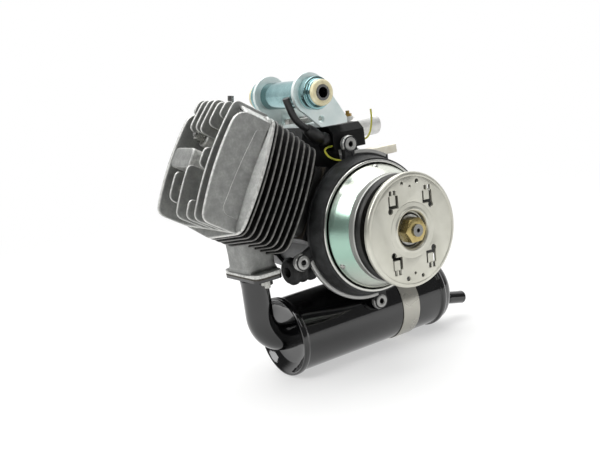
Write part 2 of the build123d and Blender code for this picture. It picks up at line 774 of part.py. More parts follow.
def exhaust_studs(low_z, high_z):
    """The two studs of the exhaust flange between two heights, as one solid."""
    return rod_z(low_z, high_z, STUD_R, -EXHAUST_STUD_X, PORT_Y) + rod_z(
        low_z, high_z, STUD_R, EXHAUST_STUD_X, PORT_Y
    )


def port_plate(z0, thickness):
    """Flange outline of the exhaust port with its two stud holes."""
    plate = block(
        -PORT_FLANGE_HALF_X, PORT_FLANGE_HALF_X, PORT_Y - PORT_FLANGE_HALF_Y,
        PORT_Y + PORT_FLANGE_HALF_Y, z0, z0 + thickness,
    )
    plate = fillet(plate.edges().filter_by(Axis.Z), PORT_FLANGE_CORNER_R)
    return plate - exhaust_studs(z0 - 1, z0 + thickness + 1)


def port_casting(top_z):
    """Casting round the exhaust way, from the port face up to top_z."""
    neck = block(-PORT_HALF_X, PORT_HALF_X, PORT_Y - PORT_HALF_Y, PORT_Y + PORT_HALF_Y, PORT_FACE_Z, top_z)
    return fillet(neck.edges().filter_by(Axis.Z), PORT_FLANGE_CORNER_R)


def sheet_gasket(c0, thickness, half):
    """Square gasket round the bore, pierced by the studs."""
    sheet = Pos(0, 0, c0 + thickness / 2) * Box(2 * half, 2 * half, thickness)
    sheet -= Pos(0, 0, c0) * Cylinder(MOUTH_R, 4 * thickness)
    return CYLINDER_FRAME * (sheet - stud_bores(c0 - thickness, c0 + 2 * thickness))


def head_studs():
    """Four long studs from the crankcase through cylinder and head."""
    return group([CYLINDER_FRAME * rod_z(STUD_FOOT_C, STUD_END_C, STUD_R, x, u) for x, u in STUD_PLACES])


def head_nuts():
    """Washer and nut on each stud."""
    nuts = []
    for x, u in STUD_PLACES:
        bore = Cylinder(STUD_R, 60)
        washer = Pos(0, 0, HEAD_BOSS_C + 0.75) * Cylinder(7.0, 1.5)
        nut = hex_z(NUT_AF, HEAD_BOSS_C + 1.5, HEAD_BOSS_C + 1.5 + HEAD_NUT_H)
        nuts.append(CYLINDER_FRAME * Pos(x, u, 0) * (washer + nut - Pos(0, 0, HEAD_BOSS_C) * bore))
    return group(nuts)


# ---------------------------------------------------------------- cylinder head
def crowned(low_u, high_u, x0, x1, foot_c, tip_c=HEAD_TIP_C):
    """Plate fin whose outer edge bows out in the middle of the head and is rounded at the far ends."""
    rise = HEAD_CROWN
    span = max(HEAD_TOP_U, -HEAD_LOW_U)

    def tip(u):
        return tip_c + rise * (1 - (u / span) ** 2)

    middle = (low_u + high_u) / 2
    edge = ThreePointArc((0, low_u, tip(low_u)), (0, middle, tip(middle)), (0, high_u, tip(high_u)))
    rest = Polyline(
        (0, high_u, tip(high_u)), (0, high_u, foot_c), (0, low_u, foot_c), (0, low_u, tip(low_u))
    )
    face = make_face([edge, rest])
    outer = [v for v in face.vertices() if v.Z > tip_c - 1]
    radius = min(6.0, (high_u - low_u) / 4)
    face = fillet(outer, radius)
    return Pos(x0, 0, 0) * extrude(face, x1 - x0, dir=(1, 0, 0))


def cylinder_head():
    """Head with plate fins, stud bosses, plug well and combustion dome."""
    top_c = HEAD_C + HEAD_PLATE_T
    head = Pos(0, 0, HEAD_C) * extrude(fin_outline(FIN_TOP_U), HEAD_PLATE_T - 4)
    head += block(-HEAD_HALF_X, HEAD_HALF_X, HEAD_LOW_U, HEAD_TOP_U - 4, HEAD_C, top_c)
    for side in (-1, 1):
        x0, x1 = sorted((side * (HEAD_HALF_X - HEAD_SIDE_T), side * HEAD_HALF_X))
        head += crowned(HEAD_LOW_U, HEAD_TOP_U - 4, x0, x1, HEAD_C)
    for x, low_u, high_u in HEAD_FINS:
        head += crowned(low_u, high_u, x - HEAD_FIN_T / 2, x + HEAD_FIN_T / 2, HEAD_C)
    x0, x1, u0, u1 = HEAD_PAD
    head += block(x0, x1, u0, u1, HEAD_C, HEAD_TIP_C + 5)
    head += Pos(0, 0, (HEAD_C + 160) / 2) * Cylinder(BARREL_R - 4, 160 - HEAD_C)
    for x, u in STUD_PLACES:
        head += Pos(x, u, (HEAD_C + HEAD_BOSS_C) / 2) * Cylinder(HEAD_BOSS_R, HEAD_BOSS_C - HEAD_C)
        head -= Pos(x, u, HEAD_BOSS_C + 20) * Cylinder(HEAD_BOSS_R, 40)
        head -= Pos(x, u, HEAD_C) * Cylinder(STUD_HOLE_R, 90)
    head += PLUG_FRAME * Pos(0, 0, PLUG_SEAT_S - 4) * Cylinder(PLUG_WELL_R + 2, 8)
    head += PLUG_FRAME * Pos(0, -PLUG_WELL_R - 1, 42) * Box(38, 5, 17)
    well = PLUG_FRAME * Pos(0, 0, PLUG_SEAT_S + 40) * Cylinder(PLUG_WELL_R, 80)
    thread = PLUG_FRAME * Pos(0, 0, 10) * Cylinder(PLUG_THREAD_R, 40)
    below = Pos(0, 0, HEAD_C - 20) * Box(160, 160, 40)
    dome_r = (DOME_R ** 2 + DOME_DEPTH ** 2) / (2 * DOME_DEPTH)
    dome = Pos(0, 0, HEAD_C + DOME_DEPTH - dome_r) * Sphere(dome_r)
    dome &= Pos(0, 0, HEAD_C + DOME_DEPTH / 2) * Cylinder(DOME_R, DOME_DEPTH)
    return CYLINDER_FRAME * (head - well - thread - dome - below)


def spark_plug():
    """Threaded steel shell with its hexagon."""
    collar_s = PLUG_SEAT_S + PLUG_HEX_H
    shell = rod_z(PLUG_BODY_S, PLUG_SEAT_S, PLUG_THREAD_R) + hex_z(PLUG_HEX_AF, PLUG_SEAT_S, collar_s)
    shell += Pos(0, 0, collar_s + 2) * Cone(9.0, 7.5, 4)
    shell -= rod_z(PLUG_NOSE_S, PLUG_END_S, PLUG_NOSE_R)
    shell -= rod_z(collar_s, PLUG_END_S, PLUG_INSULATOR_R)
    return CYLINDER_FRAME * PLUG_FRAME * shell


def plug_insulator():
    """Ceramic body of the spark plug."""
    collar_s = PLUG_SEAT_S + PLUG_HEX_H
    body = rod_z(PLUG_NOSE_S, collar_s, PLUG_NOSE_R)
    body += rod_z(collar_s, PLUG_INSULATOR_END_S, PLUG_INSULATOR_R)
    return CYLINDER_FRAME * PLUG_FRAME * body


def plug_terminal():
    """Threaded end of the plug's centre electrode."""
    return CYLINDER_FRAME * PLUG_FRAME * rod_z(PLUG_INSULATOR_END_S, PLUG_END_S, PLUG_TERMINAL_R)


# ---------------------------------------------------------------- piston, rod and crank
def piston():
    """Hollow piston with ring grooves and pin bosses."""
    height = PIN_TO_CROWN + PIN_TO_SKIRT
    body = Pos(0, 0, PIN_C - PIN_TO_SKIRT + height / 2) * Cylinder(PISTON_R, height)
    hollow_top = CROWN_C - 6
    foot = PIN_C - PIN_TO_SKIRT - 1
    body -= Pos(0, 0, (foot + hollow_top) / 2) * Cylinder(PISTON_R - PISTON_WALL, hollow_top - foot)
    for side in (-1, 1):
        x0, x1 = sorted((side * (ROD_T / 2 + 1.5), side * (PISTON_R - 1)))
        boss = rod_x(x0, x1, GUDGEON_R + 3.5, 0, PIN_C) + block(
            x0, x1, -GUDGEON_R, GUDGEON_R, PIN_C, CROWN_C - 5
        )
        body += boss & (Pos(0, 0, PIN_C + 5) * Cylinder(PISTON_R - 0.5, 60))
    body -= rod_x(-PISTON_R - 1, PISTON_R + 1, GUDGEON_R, 0, PIN_C)
    for index in (0, 1):
        c = CROWN_C - 5 - index * RING_STEP
        body -= Pos(0, 0, c) * (Cylinder(PISTON_R + 1, RING_T) - Cylinder(PISTON_R - RING_DEPTH, RING_T))
    return CYLINDER_FRAME * body


def piston_rings():
    """Two split rings in their grooves."""
    rings = []
    for index in (0, 1):
        c = CROWN_C - 5 - index * RING_STEP
        ring = Cylinder(BORE / 2 - 0.02, RING_T - 0.1) - Cylinder(PISTON_R - RING_DEPTH + 0.1, RING_T)
        ring -= Pos(0, PISTON_R, 0) * Box(0.6, 8, 4)
        rings.append(CYLINDER_FRAME * Pos(0, 0, c) * ring)
    return group(rings)


def gudgeon_pin():
    """Hollow pin that carries the small end."""
    return CYLINDER_FRAME * ring_x(-PISTON_R + 4, PISTON_R - 4, GUDGEON_R, GUDGEON_R - 2.5, 0, PIN_C)


def circlips():
    """Wire rings that keep the gudgeon pin in the piston, as a list."""
    clips = []
    for side in (-1, 1):
        x0, x1 = sorted((side * (PISTON_R - 4), side * (PISTON_R - 2.8)))
        clip = ring_x(x0, x1, GUDGEON_R, GUDGEON_R - 1.2, 0, PIN_C)
        clips.append(CYLINDER_FRAME * (clip - block(x0 - 1, x1 + 1, -2, 2, PIN_C - 9, PIN_C)))
    return clips


def connecting_rod():
    """Forged rod with its two eyes and a waisted shank."""
    half = ROD_T / 2
    big = rod_x(-half, half, ROD_BIG_R, 0, THROW)
    small = rod_x(-half, half, ROD_SMALL_R, 0, PIN_C)
    shank = polygon_x(
        [
            (-ROD_SHANK_W / 2 - 1, THROW + 6), (-ROD_SHANK_W / 2 + 1.5, PIN_C - 5),
            (ROD_SHANK_W / 2 - 1.5, PIN_C - 5), (ROD_SHANK_W / 2 + 1, THROW + 6),
        ],
        -ROD_SHANK_T / 2, ROD_SHANK_T / 2,
    )
    rod = big + small + shank
    for side in (-1, 1):
        x0, x1 = sorted((side * 1.5, side * 4))
        rod -= block(x0, x1, -3.2, 3.2, THROW + ROD_BIG_R + 4, PIN_C - ROD_SMALL_R - 4)
    rod -= rod_x(-half - 1, half + 1, CRANK_PIN_R + CAGE_T, 0, THROW)
    rod -= rod_x(-half - 1, half + 1, GUDGEON_R + CAGE_T, 0, PIN_C)
    return CYLINDER_FRAME * rod


def needle_cage(pin_r, c):
    """Needle bearing shown as a ring between a pin and its eye."""
    return CYLINDER_FRAME * ring_x(-ROD_T / 2, ROD_T / 2, pin_r + CAGE_T, pin_r, 0, c)


def crank_pin():
    """Big-end pin, seen between the webs."""
    reach = WEB_INNER_X - SIDE_CLEARANCE
    return CYLINDER_FRAME * rod_x(-reach, reach, CRANK_PIN_R, 0, THROW)


def crank_web(side):
    """Full-circle web, lightened near the crank pin."""
    x0, x1 = sorted((side * WEB_INNER_X, side * WEB_OUTER_X))
    web = rod_x(x0, x1, WEB_R)
    for angle in (52, 128):
        y, z = polar(25, angle)
        web -= CYLINDER_FRAME * rod_x(x0 - 1, x1 + 1, 5, y, z)
    return web


def crank_left():
    """Web and pulley-side shaft."""
    shaft = rod_x(WEB_INNER_X, SHAFT_STEP_X, SHAFT_R)
    shaft += rod_x(SHAFT_STEP_X, NUT_X, TAPER_R) + rod_x(NUT_X, PULLEY_END_X, THREAD_R)
    shaft = crank_web(1) + shaft
    shaft -= rod_x(PULLEY_END_X - 6, PULLEY_END_X + 1, 2.0)
    return shaft - hub_key()


def crank_right():
    """Web and magneto-side shaft."""
    shaft = rod_x(-WEB_INNER_X, -SHAFT_STEP_X, SHAFT_R)
    shaft += rod_x(-SHAFT_STEP_X, FLYWHEEL_OUTER_X, TAPER_R)
    shaft += rod_x(FLYWHEEL_OUTER_X, MAGNETO_END_X, THREAD_R)
    return crank_web(-1) + shaft - flywheel_key()


def woodruff(x, shaft_r):
    """Half-moon key half sunk in the shaft."""
    key = Pos(x, 0, shaft_r) * Rot(90, 0, 0) * Cylinder(5, 3)
    return key & block(x - 6, x + 6, -3, 3, 0, shaft_r + 1.2)


def hub_key():
    """Key of the clutch hub."""
    return woodruff(SHAFT_STEP_X + HUB_KEY_IN, TAPER_R)


def flywheel_key():
    """Key of the flywheel."""
    return woodruff(FLYWHEEL_INNER_X - FLYWHEEL_KEY_IN, TAPER_R)


# ---------------------------------------------------------------- clutch and pulley
def clutch_hub():
    """Keyed hub with the plate and pins that carry the shoes."""
    hub = rod_x(SHAFT_STEP_X, SHOE_X + SHOE_T, HUB_R)
    hub += rod_x(HUB_PLATE_X, HUB_PLATE_X + HUB_PLATE_T, HUB_PLATE_R)
    for angle in (0, 180):
        y, z = polar(SHOE_PIN_CIRCLE_R, angle)
        hub += rod_x(HUB_PLATE_X, SHOE_X + SHOE_T, SHOE_PIN_R, y, z)
    hub -= rod_x(SHAFT_STEP_X - 1, SHOE_X + SHOE_T + 1, TAPER_R)
    return hub - hub_key()


def clutch_shoe(start_angle):
    """Curved shoe swinging on a pin at its leading end, its lining on the outside."""
    profile = ring_x(SHOE_X, SHOE_X + SHOE_T, SHOE_OUTER_R, SHOE_INNER_R)
    reach = 2 * SHOE_OUTER_R
    a0, a1 = start_angle - 11, start_angle + SHOE_ARC
    middle = (a0 + a1) / 2
    wedge = polygon_x(
        [(0, 0), polar(reach, a0), polar(reach, (a0 + middle) / 2), polar(reach, middle),
         polar(reach, (a1 + middle) / 2), polar(reach, a1)],
        SHOE_X - 1, SHOE_X + SHOE_T + 1,
    )
    shoe = profile & wedge
    y, z = polar(SHOE_PIN_CIRCLE_R, start_angle)
    return shoe - rod_x(SHOE_X - 1, SHOE_X + SHOE_T + 1, SHOE_PIN_R + RUN_CLEARANCE, y, z)


def clutch_drum():
    """Steel clutch drum whose front face is the fixed wall of the belt groove."""
    wall_x = BAND_FRONT_X
    drum = turned([
        (BAND_REAR_X, BAND_R - BAND_WALL), (BAND_REAR_X, BAND_R), (wall_x, BAND_R),
        (wall_x + 4.0, GROOVE_NECK_R), (wall_x + 5.0, DISC_HOLE_R), (NECK_END_X, DISC_HOLE_R),
        (NECK_END_X, PULLEY_BUSH_R), (wall_x + 0.5, PULLEY_BUSH_R), (wall_x + 0.5, GROOVE_NECK_R),
        (wall_x - 2.5, BAND_R - BAND_WALL),
    ])
    return drum


def pulley_bush():
    """Bronze bush on which the pulley runs free of the crankshaft."""
    return ring_x(BAND_FRONT_X + 0.5, NECK_END_X, PULLEY_BUSH_R, TAPER_R + RUN_CLEARANCE)


def rear_dish():
    """Pressed dish behind the drum, flaring out towards the crankcase."""
    dish = turned([
        (BAND_REAR_X, HUB_R + 2), (BAND_REAR_X, BAND_R), (DISH_REAR_X + 1.5, DISH_R - 0.6),
        (DISH_REAR_X, DISH_R), (DISH_REAR_X, DISH_R - 2.4), (BAND_REAR_X - 2 * DISH_T, BAND_R - 3),
        (BAND_REAR_X - DISH_T, BAND_R - 4), (BAND_REAR_X - DISH_T, HUB_R + 2),
    ])
    for rivet in dish_rivets():
        dish += rivet
    return dish


def dish_rivets():
    """Round-headed rivets on the flank of the dish."""
    slope = (DISH_R - BAND_R) / (BAND_REAR_X - DISH_REAR_X)
    mid_x = (BAND_REAR_X + DISH_REAR_X) / 2
    mid_r = (BAND_R + DISH_R) / 2
    length = hypot(1, slope)
    rivets = []
    for angle in (88, 208, 328):
        y, z = polar(1.0, angle)
        normal = (slope / length, y / length, z / length)
        foot = (mid_x, y * mid_r, z * mid_r)
        tip = tuple(f + 1.4 * n for f, n in zip(foot, normal))
        rivets.append(between(foot, tip, 2.6, 1.6))
    return rivets


def sheave_disc():
    """Sliding outer sheave: a pressed cup with roller windows round a dished middle."""
    front, back = DISC_FRONT_X, DISC_FRONT_X - DISC_T
    hub_r = DISC_HOLE_R + RUN_CLEARANCE
    disc = turned([
        (DISC_RIM_X, DISC_R), (front - 2.4, DISC_R), (front - 0.7, DISC_R - 0.7), (front, DISC_R - 2.4),
        (front, DISC_LIP_R + 1.6), (front - 0.5, DISC_LIP_R), (front - 4.0, DISC_HOLE_R + 2.0),
        (front - 4.6, hub_r), (DISC_RIM_X - 2.5, hub_r), (DISC_RIM_X - 2.5, hub_r + 4),
        (back - 1.5, DISC_LIP_R), (back, DISC_LIP_R + 2.5), (back, DISC_R - 4.5), (back - 1, DISC_R - 3),
        (DISC_RIM_X, DISC_R - 2.6),
    ])
    for y, z, r in SHEAVE_HOLES:
        disc -= rod_x(back - 6, front + 1, r, y, z)
        disc -= rod_x(back - 6, front + 1, r, -y, -z)
    for side_y in (-1, 1):
        for side_z in (-1, 1):
            for y0, y1, z0, z1 in WINDOW_CUTS:
                disc -= quarter_block(back - 6, front + 1, side_y, side_z, (y0, y1), (z0, z1))
            y, z = side_y * WINDOW_HOLE[0], side_z * WINDOW_HOLE[1]
            disc -= Rot(WINDOW_TURN, 0, 0) * rod_x(back - 6, front + 1, WINDOW_HOLE[2], y, z)
            y0, y1, z0, z1 = WINDOW_TONGUE
            disc += quarter_block(back - 0.9, front - 0.9, side_y, side_z, (y0, y1), (z0, z1))
    return disc


def quarter_block(x0, x1, side_y, side_z, y_span, z_span):
    """Box in one quarter of the sliding disc, turned with its window pattern."""
    y0, y1 = sorted(side_y * y for y in y_span)
    z0, z1 = sorted(side_z * z for z in z_span)
    return Rot(WINDOW_TURN, 0, 0) * block(x0, x1, y0, y1, z0, z1)



def crank_washer():
    """Thick washer under the crank nut."""
    return ring_x(NUT_X, NUT_X + WASHER_T, WASHER_R, THREAD_R)


def crank_nut():
    """Flanged hexagon nut at the pulley end of the crankshaft."""
    x0 = NUT_X + WASHER_T
    nut = Rot(30, 0, 0) * hex_x(CRANK_NUT_AF, x0, x0 + CRANK_NUT_H)
    corner_r = CRANK_NUT_AF / 2 / cos(radians(30))
    rounding = turned([(x0 - 1, 0), (x0 - 1, corner_r + 1), (x0 + CRANK_NUT_H - 1.6, corner_r + 1),
                       (x0 + CRANK_NUT_H, CRANK_NUT_AF / 2 - 0.6), (x0 + CRANK_NUT_H, 0)])
    return (nut & rounding) - rod_x(x0 - 1, x0 + CRANK_NUT_H + 1, THREAD_R)


# ---------------------------------------------------------------- magneto
def stator_plate():
    """Plate that carries the generating coils."""
    plate = ring_x(-CASE_HALF - STATOR_T, -CASE_HALF, STATOR_R, SHAFT_R + 4)
    return plate - rod_x(-CASE_HALF - 10, -CASE_HALF + 1, 4, 0, -27)


def stator_coils():
    """Two wound coils on the stator plate, as a list."""
    coils = []
    face_x = -CASE_HALF - STATOR_T
    for angle in (20, 200):
        y, z = polar(STATOR_CIRCLE_R, angle)
        core = block(
            face_x - STATOR_COIL_L, face_x, -STATOR_COIL_HALF, STATOR_COIL_HALF,
            -STATOR_COIL_HALF_T, STATOR_COIL_HALF_T,
        )
        coils.append(Pos(0, y, z) * Rot(angle + 90, 0, 0) * fillet(core.edges().filter_by(Axis.X), 3))
    return coils


def flywheel():
    """Cup flywheel with fan blades and slots."""
    inner, outer = FLYWHEEL_INNER_X, FLYWHEEL_OUTER_X
    wheel = ring_x(outer, inner, FLYWHEEL_R, FLYWHEEL_R - FLYWHEEL_RIM)
    wheel += rod_x(outer, outer + FLYWHEEL_WEB_T, FLYWHEEL_R)
    wheel += rod_x(outer, inner - 1, FLYWHEEL_HUB_R)
    for angle in (30, 150, 270):
        y, z = polar(27, angle)
        wheel -= rod_x(outer - 1, outer + FLYWHEEL_WEB_T + 1, 6, y, z)
    wheel -= rod_x(outer - 1, inner + 1, TAPER_R)
    return wheel - flywheel_key()


def flywheel_nut():
    """Nut on the magneto end."""
    outer_x = FLYWHEEL_OUTER_X - FLYWHEEL_NUT_H
    nut = hex_x(FLYWHEEL_NUT_AF, outer_x, FLYWHEEL_OUTER_X)
    return nut - rod_x(outer_x - 1, FLYWHEEL_OUTER_X + 1, THREAD_R)


def magneto_cover():
    """Vented cup over the flywheel, held by three screws."""
    cover = turned([
        (-CASE_HALF, COVER_R), (-CASE_HALF, COVER_R - COVER_WALL),
        (COVER_END_X + COVER_WALL, COVER_R - COVER_WALL - COVER_EDGE), (COVER_END_X + COVER_WALL, 0),
        (COVER_END_X, 0), (COVER_END_X, COVER_R - 2 * COVER_EDGE),
        (COVER_END_X + COVER_EDGE, COVER_R - COVER_EDGE),
    ])
    lug_x = -CASE_HALF - COVER_LUG_T
    for angle in COVER_SCREW_ANGLES:
        y, z = polar(COVER_SCREW_CIRCLE_R, angle)
        cover += rod_x(lug_x, -CASE_HALF, COVER_LUG_R, y, z)
        cover -= rod_x(lug_x - 1, -CASE_HALF + 1, COVER_SCREW_R, y, z)
        cover -= rod_x(lug_x - 12, lug_x, COVER_SCREW_HEAD_R + 0.5, y, z)
    for index in range(-COVER_SLOTS, COVER_SLOTS + 1):
        z = index * COVER_SLOT_PITCH
        half = (COVER_SLOT_REACH ** 2 - z ** 2) ** 0.5
        cover -= block(
            COVER_END_X - 1, COVER_END_X + COVER_WALL + 1, -half, half,
            z - COVER_SLOT_HALF, z + COVER_SLOT_HALF,
        )
    return cover


def case_ears():
    """Ears on the magneto-side half for the cover screws."""
    ears = []
    inner_x = -CASE_HALF + COVER_EAR_T
    for angle in COVER_SCREW_ANGLES:
        y, z = polar(COVER_SCREW_CIRCLE_R, angle)
        foot_y, foot_z = polar(CASE_R - 5, angle)
        side_y, side_z = polar(COVER_LUG_R, angle + 90)
        outline = [
            (foot_y - side_y, foot_z - side_z), (y - side_y, z - side_z),
            (y + side_y, z + side_z), (foot_y + side_y, foot_z + side_z),
        ]
        ears.append(polygon_x(outline, -CASE_HALF, inner_x) + rod_x(-CASE_HALF, inner_x, COVER_LUG_R, y, z))
    return ears


def cover_screws():
    """Screws of the magneto cover, as a list."""
    screws = []
    lug_x = -CASE_HALF - COVER_LUG_T
    for angle in COVER_SCREW_ANGLES:
        y, z = polar(COVER_SCREW_CIRCLE_R, angle)
        shank = rod_x(lug_x, -CASE_HALF + COVER_EAR_T - 1, COVER_SCREW_R, y, z)
        screws.append(shank + rod_x(lug_x - COVER_SCREW_HEAD_H, lug_x, COVER_SCREW_HEAD_R, y, z))
    return screws


# ---------------------------------------------------------------- intake
def intake_manifold():
    """Flanged elbow from the crankcase to the carburettor stub."""
    base_z = INTAKE_PAD_Z
    bend_z = INTAKE_Z - INTAKE_BEND_R
    bend_y = INTAKE_Y + INTAKE_BEND_R
    outer, inner = (
        rod_z(base_z, bend_z, r, 0, INTAKE_Y)
        + quarter_bend(r, INTAKE_BEND_R, bend_y, bend_z, -1, 1)
        + rod_y(bend_y, INTAKE_END_Y, r, 0, INTAKE_Z)
        for r in (INTAKE_R, INTAKE_R - INTAKE_WALL)
    )
    flange = block(
        -INTAKE_FLANGE_HALF_X, INTAKE_FLANGE_HALF_X, INTAKE_Y - INTAKE_FLANGE_HALF_Y,
        INTAKE_Y + INTAKE_FLANGE_HALF_Y, base_z, base_z + INTAKE_FLANGE_T,
    )
    flange = fillet(flange.edges().filter_by(Axis.Z), 6)
    boss = rod_z(INTAKE_Z + 2, BLEED_TOP_Z, BLEED_BOSS_R, 0, BLEED_Y)
    body = outer + flange + boss - inner
    for x in (-INTAKE_SCREW_X, INTAKE_SCREW_X):
        body -= rod_z(base_z - 1, base_z + INTAKE_FLANGE_T + 1, INTAKE_SCREW_R, x, INTAKE_Y)
    return body - rod_z(INTAKE_Z + 4, BLEED_TOP_Z + 1, BLEED_R, 0, BLEED_Y)


def intake_screws():
    """Two screws of the manifold flange, as a list."""
    top = INTAKE_PAD_Z + INTAKE_FLANGE_T
    return [
        rod_z(INTAKE_PAD_Z - INTAKE_SCREW_L, top, INTAKE_SCREW_R, x, INTAKE_Y)
        + rod_z(top, top + 4, INTAKE_SCREW_R + 1.7, x, INTAKE_Y)
        for x in (-INTAKE_SCREW_X, INTAKE_SCREW_X)
    ]


def bleed_screw():
    """Small brass screw on top of the manifold."""
    z = BLEED_TOP_Z
    head = Pos(0, BLEED_Y, 0) * hex_z(BLEED_AF, z, z + 3)
    return head + rod_z(z - 6, z, BLEED_R, 0, BLEED_Y) + rod_z(z + 3, z + 6, BLEED_R, 0, BLEED_Y)


def reed_block():
    """Reed valve below the manifold: a frame with two petals."""
    outer_r = INTAKE_R - INTAKE_WALL - RUN_CLEARANCE
    tube = rod_z(REED_Z, INTAKE_PAD_Z, outer_r, 0, INTAKE_Y)
    tube -= rod_z(REED_Z - 1, INTAKE_PAD_Z + 1, outer_r - 2, 0, INTAKE_Y)
    bar_half = outer_r - 0.8
    bar = block(-bar_half, bar_half, INTAKE_Y - 1, INTAKE_Y + 1, REED_Z - 1, REED_Z + 2)
    petals = []
    for side in (-1, 1):
        y0, y1 = sorted((INTAKE_Y + side * 0.4, INTAKE_Y + side * 5))
        petals.append(block(-5, 5, y0, y1, REED_Z - 1 - REED_T, REED_Z - 1))
    return group([tube + bar] + petals)


# ---------------------------------------------------------------- exhaust
def exhaust_gasket():
    """Gasket between port and pipe flange."""
    way = rod_z(PIPE_TOP_Z - 1, PORT_FACE_Z + 1, PORT_R, 0, PORT_Y)
    return port_plate(PIPE_TOP_Z, EXHAUST_GASKET_T) - way


def exhaust_flange():
    """Thick plate that pulls the pipe onto the port."""
    low = PIPE_TOP_Z - PIPE_FLANGE_T
    return port_plate(low, PIPE_FLANGE_T) - rod_z(low - 1, PIPE_TOP_Z + 1, PIPE_R, 0, PORT_Y)


def exhaust_nuts():
    """Studs of the exhaust flange with their nuts."""
    low = PIPE_TOP_Z - PIPE_FLANGE_T
    nuts = exhaust_studs(low - NUT_H - STUD_STAND, PORT_FACE_Z + PORT_FLANGE_T)
    for x in (-EXHAUST_STUD_X, EXHAUST_STUD_X):
        nuts += Pos(x, PORT_Y, 0) * hex_z(NUT_AF, low - NUT_H, low)
    return group([nuts])


def exhaust_pipe():
    """Pipe down from the port and round into the silencer's front cap."""
    bend_z = SILENCER_Z + PIPE_BEND_R
    bend_y = PORT_Y + PIPE_BEND_R
    end_y = SILENCER_FRONT_Y + CAP_DISH + 9
    outer, inner = (
        rod_z(bend_z, PIPE_TOP_Z, r, 0, PORT_Y)
        + quarter_bend(r, PIPE_BEND_R, bend_y, bend_z, -1, -1)
        + rod_y(bend_y, end_y, r, 0, SILENCER_Z)
        for r in (PIPE_R, PIPE_R - PIPE_WALL)
    )
    return outer - inner


# ---------------------------------------------------------------- silencer
def turned_y(points):
    """Solid of revolution about the silencer's axis from (y, radius) points."""
    face = make_face(Polyline(*[(0, y, r) for y, r in points], close=True))
    return Pos(0, 0, SILENCER_Z) * revolve(face, Axis.Y, 360)


def silencer_shell():
    """Rolled body of the silencer."""
    front, rear = SILENCER_FRONT_Y + BEAD_W, SILENCER_SEAM_Y - 3
    return turned_y([
        (front, SILENCER_R), (rear, SILENCER_R),
        (rear, SILENCER_R - SILENCER_WALL), (front, SILENCER_R - SILENCER_WALL),
    ])


def silencer_front_cap():
    """Dished front cap with its rolled rim, drilled for the pipe."""
    y0 = SILENCER_FRONT_Y
    cap = turned_y([
        (y0, BEAD_R - 0.8), (y0 + 1, BEAD_R), (y0 + BEAD_W - 1, BEAD_R), (y0 + BEAD_W, BEAD_R - 1.0),
        (y0 + BEAD_W, SILENCER_R - SILENCER_WALL - 1.2), (y0 + CAP_DISH + 1.5, SILENCER_R - 6),
        (y0 + CAP_DISH + 1.5, PIPE_R), (y0 + CAP_DISH, PIPE_R), (y0 + CAP_DISH, SILENCER_R - 7),
        (y0 + 3, SILENCER_R - 2.5), (y0, SILENCER_R - 1.2),
    ])
    return cap


def dome_points(start_y, depth, radius):
    """(y, radius) points of a quarter ellipse from its rim to the axis."""
    turns = [radians(90 * index / 8) for index in range(8)]
    return [(start_y + depth * sin(turn), radius * cos(turn)) for turn in turns] + [(start_y + depth, 0)]


def silencer_rear_cap():
    """Domed rear cap with its seam ring, pierced for the outlet."""
    y0, wall = SILENCER_SEAM_Y, 2.5
    seam = [
        (y0 - 3, SILENCER_R), (y0 - 3, BEAD_R - 0.6), (y0 - 1, BEAD_R),
        (y0 + 2, BEAD_R), (y0 + 3, SILENCER_R),
    ]
    outer = dome_points(y0 + 5, SILENCER_DOME - 5, SILENCER_R)
    inner = dome_points(y0 + 5, SILENCER_DOME - 5 - wall, SILENCER_R - wall)
    inner.reverse()
    cap = turned_y(seam + outer + inner + [(y0 - 3, SILENCER_R - wall)])
    return cap - between(TAIL_START, TAIL_END, TAIL_ROOT_R)


def silencer_baffles():
    """Two pierced partition plates inside the silencer."""
    plates = []
    for y in BAFFLE_Y:
        r = SILENCER_R - SILENCER_WALL
        plate = rod_y(y, y + 1.5, r, 0, SILENCER_Z)
        for angle in range(0, 360, 60):
            dy, dz = polar(r * 0.6, angle)
            plate -= rod_y(y - 1, y + 3, 4, dy, SILENCER_Z + dz)
        plates.append(plate)
    return group(plates)


def tailpipe():
    """Small outlet spigot low on the rear cap, pointing back and a little down."""
    end = Vector(*TAIL_END)
    drop = (end - Vector(*TAIL_START)).normalized()
    shoulder = end - drop * TAIL_FREE_L
    spigot = between(TAIL_START, shoulder, TAIL_ROOT_R) + between(shoulder, end, TAIL_R)
    return spigot - between(Vector(*TAIL_START) - drop, end + drop, TAIL_BORE_R)


def silencer_strap():
    """Stainless band round the silencer with a clamp lug on top."""
    y0, y1 = STRAP_Y - STRAP_W / 2, STRAP_Y + STRAP_W / 2
    inner_r = SILENCER_R + STRAP_CLEARANCE
    band = rod_y(y0, y1, inner_r + STRAP_T, 0, SILENCER_Z)
    top_z = SILENCER_Z + SILENCER_R
    lug = block(-LUG_HALF_X, LUG_HALF_X, STRAP_Y - LUG_HALF_Y, STRAP_Y + LUG_HALF_Y, top_z, top_z + LUG_H)
    return band + lug - rod_y(y0 - 1, y1 + 1, inner_r, 0, SILENCER_Z)


def silencer_bracket():
    """Hanger between the crankcase foot and the strap."""
    low_z = SILENCER_Z + SILENCER_R + LUG_H
    y0, y1 = STRAP_Y - LUG_HALF_Y, STRAP_Y + LUG_HALF_Y
    return block(-HANGER_HALF_X, HANGER_HALF_X, y0, y1, low_z, FOOT_LOW_Z)


